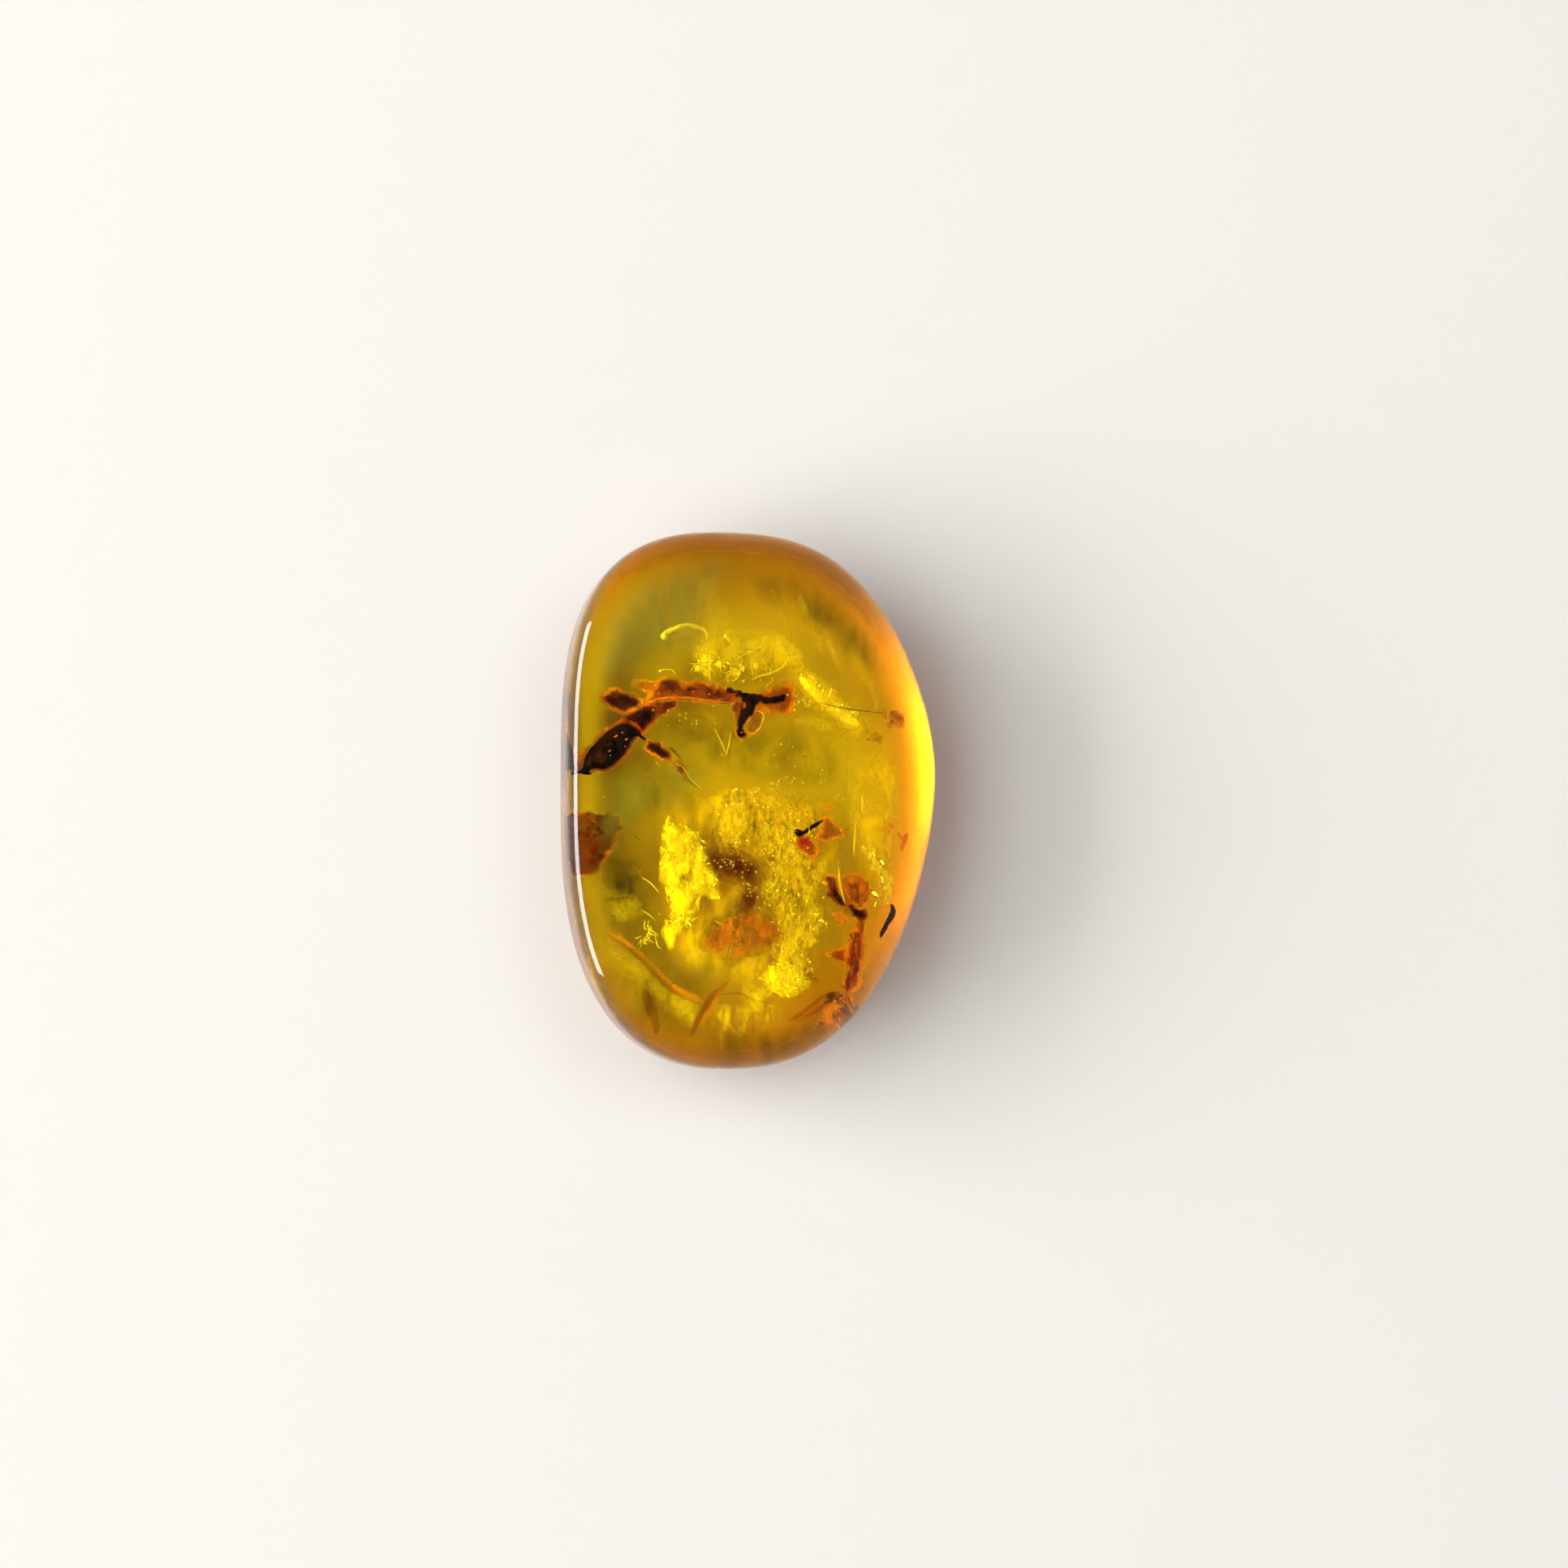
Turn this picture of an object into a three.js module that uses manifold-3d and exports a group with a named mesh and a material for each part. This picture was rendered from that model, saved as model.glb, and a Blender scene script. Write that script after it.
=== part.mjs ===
// Polished amber: a tumbled, egg-shaped piece of clear fossil resin with plant debris sealed inside.
// The frame is in millimetres: +Y along the stone, +X across it, +Z up out of its shown face, with the
// origin at the middle of its box on the flat polished face that it rests on. The clear solid is parted
// in two level halves, so that each sealed twig, leaf or crumb sits in a pocket of its own.

import * as THREE from "three";
import { mergeVertices } from "three/addons/utils/BufferGeometryUtils.js";
import Module from "manifold-3d";

// The stone's reach from the point where its widest and its longest chord cross
const REACH_TOP = 13.35;
const REACH_BOTTOM = 16.5;
const REACH_LEFT = 8.95;
const REACH_RIGHT = 12.1;

// How full each quarter of the outline is: 2 is an ellipse, more is squarer
const FULL_TOP_LEFT = 3.2;
const FULL_TOP_RIGHT = 1.9;
const FULL_BOTTOM_RIGHT = 1.85;
const FULL_BOTTOM_LEFT = 2.9;

// The stone's section: a flat foot, a round lower side, the widest line and the dome above it
const THICKNESS = 8;
const GIRDLE_HEIGHT = 4.6;
const FOOT_SHARE = 0.62;
const FOOT_LATITUDE = THREE.MathUtils.degToRad(60);
const FULL_LOWER_SIDE = 2.3;
const FULL_DOME_LEFT = 8;
const FULL_DOME_RIGHT = 2.6;

// The middle of the stone's box, seen from where the chords cross
const CROSSING_X = (REACH_LEFT - REACH_RIGHT) / 2;
const CROSSING_Y = (REACH_BOTTOM - REACH_TOP) / 2;

// The level where the clear solid is parted, and the room around each sealed piece
const PARTING_HEIGHT = 4.5;
const CLEARANCE = 0.3;

// How finely the round forms are faceted
const STONE_SIDES = 72;
const STONE_ROWS = 22;
const STALK_SIDES = 8;
const STALK_STEPS = 9;
const CRUMB_DETAIL = 1;

// The thinned edge of a leaf or bark flake, and how lumpy a crumb is
const FLAKE_EDGE = 0.1;
const CRUMB_LUMP = 0.16;

const AMBER = { color: 0xd9a10e, roughness: 0.06, transparent: true, opacity: 0.5 };
const CHARRED_WOOD = { color: 0x241307, roughness: 0.7 };
const BROWN_WOOD = { color: 0x5b2f0c, roughness: 0.75 };
const ORANGE_LEAF = { color: 0xa8560f, roughness: 0.65 };

const wasm = await Module();
wasm.setup();

// A closed geometry as a solid that can be cut
function solidOf(geometry) {
  const bare = geometry.clone();
  bare.deleteAttribute("normal");
  bare.deleteAttribute("uv");
  const merged = mergeVertices(bare);
  return new wasm.Manifold(
    new wasm.Mesh({
      numProp: 3,
      vertProperties: new Float32Array(merged.attributes.position.array),
      triVerts: new Uint32Array(merged.index.array),
    }),
  );
}

function geometryOf(solid) {
  const { vertProperties, triVerts } = solid.getMesh();
  const geometry = new THREE.BufferGeometry();
  geometry.setAttribute("position", new THREE.BufferAttribute(vertProperties, 3));
  geometry.setIndex(new THREE.BufferAttribute(triVerts, 1));
  geometry.computeVertexNormals();
  return geometry;
}

// Moves every corner of a geometry by a rule that takes and gives a point
function reshape(geometry, rule) {
  const corners = geometry.attributes.position;
  const point = new THREE.Vector3();
  for (let i = 0; i < corners.count; i += 1) {
    const moved = rule(point.fromBufferAttribute(corners, i), i);
    corners.setXYZ(i, moved.x, moved.y, moved.z);
  }
  return geometry;
}

// Distance from the crossing to the outline in the direction of an angle
function outlineReach(angle) {
  const across = Math.cos(angle);
  const along = Math.sin(angle);
  const rightShare = (1 + across) / 2;
  const topShare = (1 + along) / 2;
  const fullTop = THREE.MathUtils.lerp(FULL_TOP_LEFT, FULL_TOP_RIGHT, rightShare);
  const fullBottom = THREE.MathUtils.lerp(FULL_BOTTOM_LEFT, FULL_BOTTOM_RIGHT, rightShare);
  const full = THREE.MathUtils.lerp(fullBottom, fullTop, topShare);
  const reachX = across >= 0 ? REACH_RIGHT : REACH_LEFT;
  const reachY = along >= 0 ? REACH_TOP : REACH_BOTTOM;
  const sum = Math.abs(across / reachX) ** full + Math.abs(along / reachY) ** full;
  return sum ** (-1 / full);
}

// Point of a quarter of a unit superellipse, in the direction of a latitude
function quarterPoint(full, latitude) {
  const out = Math.abs(Math.cos(latitude));
  const up = Math.abs(Math.sin(latitude));
  const radius = (out ** full + up ** full) ** (-1 / full);
  return { out: radius * out, up: radius * up };
}

// Share of the outline and height of the dome, over the widest line
function domePoint(angle, latitude) {
  const rightShare = (1 + Math.cos(angle)) / 2;
  const full = THREE.MathUtils.lerp(FULL_DOME_LEFT, FULL_DOME_RIGHT, rightShare);
  const { out, up } = quarterPoint(full, latitude);
  return { share: out, height: GIRDLE_HEIGHT + (THICKNESS - GIRDLE_HEIGHT) * up };
}

// Share of the outline and height of the lower side, down to the edge of the flat foot
function lowerPoint(latitude) {
  const turn = (-latitude / FOOT_LATITUDE) * (Math.PI / 2);
  const { out, up } = quarterPoint(FULL_LOWER_SIDE, turn);
  return { share: FOOT_SHARE + (1 - FOOT_SHARE) * out, height: GIRDLE_HEIGHT * (1 - up) };
}

// The whole stone: a turned unit ball, its rows spaced from the foot's edge to the top of the dome
function stoneGeometry() {
  const profile = [new THREE.Vector2(0, -1)];
  for (let row = 0; row <= STONE_ROWS; row += 1) {
    const latitude = THREE.MathUtils.lerp(-FOOT_LATITUDE, Math.PI / 2, row / STONE_ROWS);
    const radius = row < STONE_ROWS ? Math.cos(latitude) : 0;
    profile.push(new THREE.Vector2(radius, Math.sin(latitude)));
  }
  const ball = new THREE.LatheGeometry(profile, STONE_SIDES);
  ball.rotateX(Math.PI / 2);
  return reshape(ball, (point) => {
    const radius = Math.hypot(point.x, point.y);
    const atPole = radius < 1e-6;
    const angle = Math.atan2(point.y, point.x);
    const latitude = Math.atan2(point.z, radius);
    let place = { share: 0, height: 0 };
    if (latitude >= 0) {
      place = domePoint(angle, latitude);
    } else if (!atPole) {
      place = lowerPoint(latitude);
    }
    const reach = atPole ? 0 : outlineReach(angle) * place.share;
    const x = CROSSING_X + reach * Math.cos(angle);
    const y = CROSSING_Y + reach * Math.sin(angle);
    return point.set(x, y, place.height);
  });
}

// Radius part way along a list of evenly spaced radii
function radiusAt(radii, share) {
  const place = share * (radii.length - 1);
  const first = Math.min(Math.floor(place), radii.length - 2);
  return THREE.MathUtils.lerp(radii[first], radii[first + 1], place - first);
}

// A bud, twig or needle: a turned profile with round ends, its axis bent along a smooth curve.
// The points are across, along and over the parting level.
function stalk(points, radii, grow) {
  const curve = new THREE.CatmullRomCurve3(points.map((point) => new THREE.Vector3(...point)));
  const frames = curve.computeFrenetFrames(STALK_STEPS, false);
  const capShares = [1, 0.75];
  const stations = [];
  const startRadius = radii[0] + grow;
  for (const share of capShares) {
    const radius = startRadius * Math.sqrt(1 - share * share);
    stations.push({ step: 0, ahead: -startRadius * share, radius });
  }
  for (let step = 0; step <= STALK_STEPS; step += 1) {
    const radius = radiusAt(radii, step / STALK_STEPS) + grow;
    stations.push({ step, ahead: 0, radius });
  }
  const endRadius = radii[radii.length - 1] + grow;
  for (const share of capShares.toReversed()) {
    const radius = endRadius * Math.sqrt(1 - share * share);
    stations.push({ step: STALK_STEPS, ahead: endRadius * share, radius });
  }
  const profile = stations.map((station, row) => new THREE.Vector2(station.radius, row));
  const turned = new THREE.LatheGeometry(profile, STALK_SIDES);
  return reshape(turned, (point) => {
    const { step, ahead } = stations[Math.round(point.y)];
    const centre = curve.getPointAt(step / STALK_STEPS);
    return centre
      .addScaledVector(frames.tangents[step], ahead)
      .addScaledVector(frames.binormals[step], point.x)
      .addScaledVector(frames.normals[step], point.z);
  });
}

// A scrap of leaf or bark: a flat outline with thinned edges, lying across the parting level
function flake(outline, thickness, grow) {
  const shape = new THREE.Shape(outline.map(([x, y]) => new THREE.Vector2(x, y)));
  const depth = thickness - 2 * FLAKE_EDGE;
  const plate = new THREE.ExtrudeGeometry(shape, {
    depth,
    bevelThickness: FLAKE_EDGE + grow,
    bevelSize: FLAKE_EDGE + grow,
    bevelOffset: -FLAKE_EDGE,
    bevelSegments: 1,
  });
  return plate.translate(0, 0, -depth / 2);
}

// A crumb of wood: a lumpy ball of three half sizes
function crumb(place, halfSizes, grow) {
  const ball = new THREE.IcosahedronGeometry(1, CRUMB_DETAIL);
  const [halfX, halfY, halfZ] = halfSizes;
  return reshape(ball, (point) => {
    const lump = 1 + CRUMB_LUMP * Math.sin(4 * point.x + 1) * Math.cos(5 * point.y + 3 * point.z);
    const x = place[0] + point.x * (halfX * lump + grow);
    const y = place[1] + point.y * (halfY * lump + grow);
    return point.set(x, y, point.z * (halfZ * lump + grow));
  });
}

// The forked twig: a plump bud, the arched stem behind it, and the two arms past its fork
const BUD_AXIS = [[-8.8, 1.8, 0.1], [-8.1, 2.55, 0], [-7, 3.55, -0.1]];
const BUD_RADII = [0.34, 0.78, 0.88, 0.76, 0.45];
const STEM_AXIS = [
  [-6.15, 4.6, -0.05], [-5.65, 5.15, 0], [-4.75, 5.75, 0.1], [-3.3, 6, 0.1], [-2, 5.95, 0], [-1.05, 5.95, 0],
];
const STEM_RADII = [0.5, 0.62, 0.46, 0.5, 0.42, 0.46, 0.34];
const RIGHT_ARM_AXIS = [[0.2, 5.68, 0], [0.8, 5.62, 0.05], [1.7, 6, 0.1]];
const RIGHT_ARM_RADII = [0.3, 0.24, 0.28];
const DOWN_ARM_AXIS = [[-0.4, 4.9, 0], [-0.55, 4.4, -0.05], [-0.7, 4, -0.05], [-0.65, 3.55, -0.05]];
const DOWN_ARM_RADII = [0.36, 0.34, 0.24, 0.2];
const BUD_SCALE_OUTLINE = [
  [-8.25, 5.5], [-7.55, 5.95], [-6.9, 5.75], [-6.75, 5.4], [-7.15, 4.95], [-7.8, 5.1],
];

// Loose debris on the left: a split seed husk with its tail, and a chip of bark by the rim
const HUSK_AXIS = [[-5.85, 3.2, 0], [-5.25, 2.7, 0], [-4.7, 2.2, 0], [-4.1, 1.55, 0], [-3.75, 1.1, 0]];
const HUSK_RADII = [0.24, 0.38, 0.32, 0.14, 0.1];
const BARK_CHIP_OUTLINE = [
  [-9.2, -1.05], [-7.5, -1.05], [-7.5, -1.6], [-7.7, -2.45], [-8.3, -3.5], [-8.8, -4.2], [-9.2, -3.6],
];

// Loose debris on the right: a bent needle by a folded leaf scrap, a leaf fan, a splinter, a sliver, crumbs
const NEEDLE_AXIS = [[2.4, -1.65, 0], [2.65, -1.75, 0], [3.25, -1.5, 0], [3.8, -1.05, 0]];
const NEEDLE_RADII = [0.12, 0.17, 0.13, 0.1];
const LEAF_SCRAP_OUTLINE = [
  [4.05, -1.5], [5, -1.75], [4.3, -2.3], [3.5, -2.75], [3.35, -3.15], [2.7, -2.8], [2.45, -2.35], [3.3, -2.2],
];
const LEAF_FAN_OUTLINE = [
  [3.95, -4.3], [4.85, -4.2], [5.95, -4.35], [6.35, -5.05],
  [6.15, -6.25], [5.8, -6.4], [5.2, -6], [4.25, -5.4],
];
const SPLINTER_AXIS = [[7.5, -5.8, 0], [7.3, -6.5, 0], [6.95, -7.25, 0]];
const SPLINTER_RADII = [0.15, 0.19, 0.15];
const SLIVER_AXIS = [[7.75, -1.1, 0], [8, -1.8, 0], [8.15, -2.55, 0]];
const SLIVER_RADII = [0.1, 0.14, 0.1];
const RED_CRUMB_PLACE = [7.9, 4.6];
const RED_CRUMB_HALF = [0.5, 0.6, 0.45];
const SMALL_CRUMB_PLACE = [6.7, 3.6];
const SMALL_CRUMB_HALF = [0.42, 0.28, 0.3];

// The broken frond at the bottom right: its stalk, one leaflet and the clump of bark at its end
const FROND_AXIS = [[5.7, -7.05, 0], [5.6, -7.6, 0], [5.45, -8.6, 0], [5.25, -9.6, 0]];
const FROND_RADII = [0.25, 0.32, 0.3, 0.28];
const LEAFLET_OUTLINE = [[4.05, -8.4], [4.75, -8.15], [4.8, -8.85]];
const BARK_CLUMP_OUTLINE = [
  [3.8, -10.6], [4.8, -10.4], [4.85, -10.9], [4.3, -11.4], [3.9, -11.45], [3.7, -11.1],
];

const BARK_THICKNESS = 0.7;
const CLUMP_THICKNESS = 0.9;
const LEAF_THICKNESS = 0.4;

// Every sealed piece, with the rule that makes its form: as it is, or grown by its pocket's clearance
const SEALED_PIECES = [
  ["bud", CHARRED_WOOD, (grow) => stalk(BUD_AXIS, BUD_RADII, grow)],
  ["bud_scale", BROWN_WOOD, (grow) => flake(BUD_SCALE_OUTLINE, LEAF_THICKNESS, grow)],
  ["twig_stem", BROWN_WOOD, (grow) => stalk(STEM_AXIS, STEM_RADII, grow)],
  ["twig_arm_right", CHARRED_WOOD, (grow) => stalk(RIGHT_ARM_AXIS, RIGHT_ARM_RADII, grow)],
  ["twig_arm_down", CHARRED_WOOD, (grow) => stalk(DOWN_ARM_AXIS, DOWN_ARM_RADII, grow)],
  ["seed_husk", ORANGE_LEAF, (grow) => stalk(HUSK_AXIS, HUSK_RADII, grow)],
  ["bark_chip", BROWN_WOOD, (grow) => flake(BARK_CHIP_OUTLINE, BARK_THICKNESS, grow)],
  ["needle", CHARRED_WOOD, (grow) => stalk(NEEDLE_AXIS, NEEDLE_RADII, grow)],
  ["leaf_scrap", ORANGE_LEAF, (grow) => flake(LEAF_SCRAP_OUTLINE, LEAF_THICKNESS, grow)],
  ["leaf_fan", ORANGE_LEAF, (grow) => flake(LEAF_FAN_OUTLINE, LEAF_THICKNESS, grow)],
  ["splinter", CHARRED_WOOD, (grow) => stalk(SPLINTER_AXIS, SPLINTER_RADII, grow)],
  ["sliver", ORANGE_LEAF, (grow) => stalk(SLIVER_AXIS, SLIVER_RADII, grow)],
  ["red_crumb", ORANGE_LEAF, (grow) => crumb(RED_CRUMB_PLACE, RED_CRUMB_HALF, grow)],
  ["small_crumb", ORANGE_LEAF, (grow) => crumb(SMALL_CRUMB_PLACE, SMALL_CRUMB_HALF, grow)],
  ["frond_stalk", BROWN_WOOD, (grow) => stalk(FROND_AXIS, FROND_RADII, grow)],
  ["frond_leaflet", ORANGE_LEAF, (grow) => flake(LEAFLET_OUTLINE, LEAF_THICKNESS, grow)],
  ["bark_clump", BROWN_WOOD, (grow) => flake(BARK_CLUMP_OUTLINE, CLUMP_THICKNESS, grow)],
];

function namedMesh(name, geometry, look) {
  const mesh = new THREE.Mesh(geometry, new THREE.MeshStandardMaterial(look));
  mesh.name = name;
  return mesh;
}

const amber = new THREE.Group();

// The sealed pieces lie at the parting level
const debris = new THREE.Group();
debris.position.z = PARTING_HEIGHT;
amber.add(debris);
let clearSolid = solidOf(stoneGeometry());
for (const [name, look, form] of SEALED_PIECES) {
  debris.add(namedMesh(name, form(0), look));
  const pocket = form(CLEARANCE).translate(0, 0, PARTING_HEIGHT);
  clearSolid = clearSolid.subtract(solidOf(pocket));
}

// Keeps the part of the clear solid between two heights
function slab(bottom, top) {
  const width = 2 * (REACH_LEFT + REACH_RIGHT);
  const length = 2 * (REACH_TOP + REACH_BOTTOM);
  const box = new THREE.BoxGeometry(width, length, top - bottom);
  box.translate(0, 0, (bottom + top) / 2);
  return geometryOf(clearSolid.intersect(solidOf(box)));
}

amber.add(namedMesh("amber_lower", slab(-THICKNESS, PARTING_HEIGHT), AMBER));
amber.add(namedMesh("amber_upper", slab(PARTING_HEIGHT, 2 * THICKNESS), AMBER));

export default amber;
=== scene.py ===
# Polished amber: a tumbled stone of clear golden resin with a forked twig and plant scraps sealed inside.
# Sizes are in millimetres in the part's frame: +Y along the stone, +X across it, +Z up from the floor.
# The pieces come from the inside out: plants, stains, cracks, threads, bubbles, veils, then the amber.

import math
import random

import bmesh
import bpy
from mathutils import Euler, Matrix, Vector, noise


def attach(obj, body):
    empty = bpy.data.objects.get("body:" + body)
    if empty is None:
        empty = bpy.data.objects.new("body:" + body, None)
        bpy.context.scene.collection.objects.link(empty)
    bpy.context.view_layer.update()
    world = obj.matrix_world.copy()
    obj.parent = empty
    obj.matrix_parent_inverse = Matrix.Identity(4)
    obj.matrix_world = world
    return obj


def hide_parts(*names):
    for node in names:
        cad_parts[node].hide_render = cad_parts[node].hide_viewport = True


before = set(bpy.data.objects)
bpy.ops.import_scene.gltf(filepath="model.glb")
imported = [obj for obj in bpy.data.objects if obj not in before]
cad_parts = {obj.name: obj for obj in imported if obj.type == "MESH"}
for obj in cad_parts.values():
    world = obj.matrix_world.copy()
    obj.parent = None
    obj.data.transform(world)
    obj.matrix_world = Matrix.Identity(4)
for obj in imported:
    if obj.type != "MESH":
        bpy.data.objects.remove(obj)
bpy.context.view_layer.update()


# The twig's bud: a plump, pointed winter bud turned to charcoal, lying level in the middle of the stone.
# Its hooked tip points to the left rim, and its skin is soaked with resin, so its edge glows orange; a band
# of painted glow runs along that edge too.
MM = 0.001
LEVEL = 4.5
# The mesh under work: every shape is drawn into it, and make_piece empties it for the next piece
bm = bmesh.new()


def linear(hex_colour):
    channels = [int(hex_colour[place:place + 2], 16) / 255 for place in (1, 3, 5)]
    return tuple(((c + 0.055) / 1.055) ** 2.4 if c > 0.04045 else c / 12.92 for c in channels) + (1.0,)


def add_node(tree, kind, links=None, values=None, **settings):
    node = tree.nodes.new("ShaderNode" + kind)
    for name, value in settings.items():
        setattr(node, name, value)
    for socket, value in (values or {}).items():
        node.inputs[socket].default_value = value
    for socket, source in (links or {}).items():
        tree.links.new(source, node.inputs[socket])
    return node


# A material with its shader's constant values set
def new_material(name, values):
    material = bpy.data.materials.new(name)
    material.use_nodes = True
    shader = material.node_tree.nodes["Principled BSDF"]
    for socket, value in values.items():
        shader.inputs[socket].default_value = value
    return material, material.node_tree, shader


# Plant matter: two colours mottled along grain of a real size, with the grain raised
def plant_material(name, light, dark, grain_mm, relief_mm, values):
    material, tree, shader = new_material(name, values)
    place = add_node(tree, "TexCoord").outputs["Object"]
    grain = add_node(tree, "Mapping", {"Vector": place}, {"Scale": (1, 0.4, 1), "Rotation": (0, 0, 0.7)})
    mottle = add_node(
        tree,
        "TexNoise",
        {"Vector": grain.outputs[0]},
        {"Scale": 1 / (grain_mm * MM), "Detail": 5.0, "Roughness": 0.6},
    )
    share = add_node(
        tree, "MapRange", {"Value": mottle.outputs[0]}, {"From Min": 0.4, "From Max": 0.68}
    )
    colour = add_node(
        tree, "Mix", {0: share.outputs[0]}, {6: linear(dark), 7: linear(light)}, data_type="RGBA"
    )
    tree.links.new(colour.outputs[2], shader.inputs["Base Color"])
    relief = add_node(
        tree, "Bump", {"Height": mottle.outputs[0]}, {"Strength": 0.6, "Distance": relief_mm * MM}
    )
    tree.links.new(relief.outputs[0], shader.inputs["Normal"])
    return material


# Matter that the resin soaked until it is clear: it only tints the light that passes, by its thickness
def soaked_material(name, tint, density):
    material, tree, shader = new_material(name, {"Roughness": 0.0, "IOR": 1.0, "Transmission Weight": 1.0})
    stain = add_node(tree, "VolumeAbsorption", values={"Color": linear(tint), "Density": density})
    tree.links.new(stain.outputs[0], tree.nodes["Material Output"].inputs["Volume"])
    return material


# One plain colour, mirroring the light by its metal share and its IOR
def plain_material(name, colour, roughness, ior=1.5, metallic=0.0):
    values = {"Base Color": linear(colour), "Roughness": roughness, "IOR": ior, "Metallic": metallic}
    return new_material(name, values)[0]


# A place or a size part way along a smooth run through a list of them
def along(run, share):
    place = min(max(share, 0), 0.9999) * (len(run) - 1)
    first = int(place)
    t = place - first
    a, b, c, d = [run[min(max(first + step, 0), len(run) - 1)] for step in (-1, 0, 1, 2)]
    return 0.5 * (
        2 * b + (c - a) * t + (2 * a - 5 * b + 4 * c - d) * t ** 2 + (3 * b - a - 3 * c + d) * t ** 3
    )


# A closed outline rounded through its corners, moved outwards and torn along its way
def rounded(outline, grow=0.0, steps=4, torn=0.0):
    corners = [Vector(corner) for corner in outline]
    count = len(corners)
    loop = []
    for first in range(count):
        four = [corners[(first + step) % count] for step in (-1, 0, 1, 2)]
        loop += [along(four, (1 + step / steps) / 3) for step in range(steps)]
    if sum(a.x * b.y - b.x * a.y for a, b in zip(loop, loop[1:] + loop[:1])) < 0:
        loop.reverse()
    moved = []
    for before, here, after in zip(loop[-1:] + loop[:-1], loop, loop[1:] + loop[:1]):
        ahead = (after - before).normalized()
        out = grow + torn * noise.fractal((here.x / 0.3, here.y / 0.3, 0.0), 1, 2, 3)
        moved.append(here + out * Vector((ahead.y, -ahead.x)))
    return moved


def inside(spot, loop):
    odd = False
    for a, b in zip(loop, loop[1:] + loop[:1]):
        if (a.y > spot.y) != (b.y > spot.y) and spot.x < a.x + (spot.y - a.y) * (b.x - a.x) / (b.y - a.y):
            odd = not odd
    return odd


def nearest(spot, loop):
    best = None
    for a, b in zip(loop, loop[1:] + loop[:1]):
        span = b - a
        share = min(max((spot - a).dot(span) / max(span.length_squared, 1e-9), 0), 1)
        point = a + span * share
        if best is None or (point - spot).length < (best - spot).length:
            best = point
    return best


# A level sheet of small squares that fills an outline; gaps takes away the corners where it is true
def sheet(loop, spacing, gaps=None):
    left, right = min(p.x for p in loop), max(p.x for p in loop)
    low, high = min(p.y for p in loop), max(p.y for p in loop)
    columns, rows = max(int((right - left) / spacing), 2), max(int((high - low) / spacing), 2)
    made = bmesh.ops.create_grid(bm, x_segments=columns, y_segments=rows, size=0.5)
    kept, lost = [], []
    for vert in made["verts"]:
        vert.co.x = left + (vert.co.x + 0.5) * (right - left)
        vert.co.y = low + (vert.co.y + 0.5) * (high - low)
        there = inside(vert.co.xy, loop) and not (gaps and gaps(vert.co))
        (kept if there else lost).append(vert)
    bmesh.ops.delete(bm, geom=lost, context="VERTS")
    squares = {face for vert in kept for face in vert.link_faces}
    stray = [face for face in squares if sum(edge.is_boundary for edge in face.edges) > 2]
    bmesh.ops.delete(bm, geom=stray, context="FACES")
    wires = {edge for vert in kept if vert.is_valid for edge in vert.link_edges if edge.is_wire}
    bmesh.ops.delete(bm, geom=list(wires), context="EDGES")
    bare = [vert for vert in kept if vert.is_valid and not vert.link_faces]
    bmesh.ops.delete(bm, geom=bare, context="VERTS")
    return [vert for vert in kept if vert.is_valid]


# A scrap filled out from its outline: thin at the torn edge, thicker and lumpy inside, gently curled
def scrap(
    outline, thick, edge, level=LEVEL,
    grow=0.0, curl=0.15, lumpy=0.5, lump=0.4, spacing=0.1, soft=1.0, torn=0.12,
):
    loop = rounded(outline, grow, 6, torn)
    upper = sheet(loop, spacing)
    rim = {vert for vert in upper if vert.is_boundary}
    slack = [face for face in {f for vert in rim for f in vert.link_faces} if rim.issuperset(face.verts)]
    bmesh.ops.delete(bm, geom=slack, context="FACES")
    upper = [vert for vert in upper if vert.is_valid and vert.link_faces]
    faces = list({face for vert in upper for face in vert.link_faces})
    twin = {}
    for vert in upper:
        if vert in rim:
            vert.co.xy = nearest(vert.co.xy, loop)
        depth = (nearest(vert.co.xy, loop) - vert.co.xy).length
        spot = Vector((vert.co.x, vert.co.y, level))
        slope = 1 - min(depth / edge, 1)
        swell = max(1 + lumpy * noise.fractal(spot / lump, 1, 2, 3), 0.1)
        half = 0.5 * thick * (1 - slope ** 2) ** soft * swell
        vert.co.z = level + curl * noise.noise(spot / 0.8)
        twin[vert] = vert if vert in rim else bm.verts.new(vert.co)
        if vert not in rim:
            twin[vert].co.z -= half
            vert.co.z += half
    for face in faces:
        bm.faces.new([twin[vert] for vert in reversed(face.verts)])


# A ball drawn out along a bent axis into a twig, needle or thread, with lumps of a given size
def rod(axis, radii, sides=12, rings=30, blunt=8, rough=0.25, lump=0.35, flat=1.0):
    axis = [Vector(point) for point in axis]
    for vert in bmesh.ops.create_uvsphere(bm, u_segments=sides, v_segments=rings, radius=1)["verts"]:
        share = math.acos(min(max(vert.co.z, -1), 1)) / math.pi
        centre = along(axis, share)
        ahead = (along(axis, share + 0.02) - along(axis, share - 0.02)).normalized()
        side = ahead.cross(Vector((0, 0, 1))).normalized()
        rise = side.cross(ahead)
        round_end = max(1 - abs(2 * share - 1) ** blunt, 0) ** 0.5
        angle = math.atan2(vert.co.y, vert.co.x)
        spoke = math.cos(angle) * side + math.sin(angle) * flat * rise
        radius = along(radii, share)
        swell = noise.fractal((centre + spoke * radius) / lump, 1, 2, 3)
        vert.co = centre + spoke * radius * round_end * (1 + rough * swell)


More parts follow.
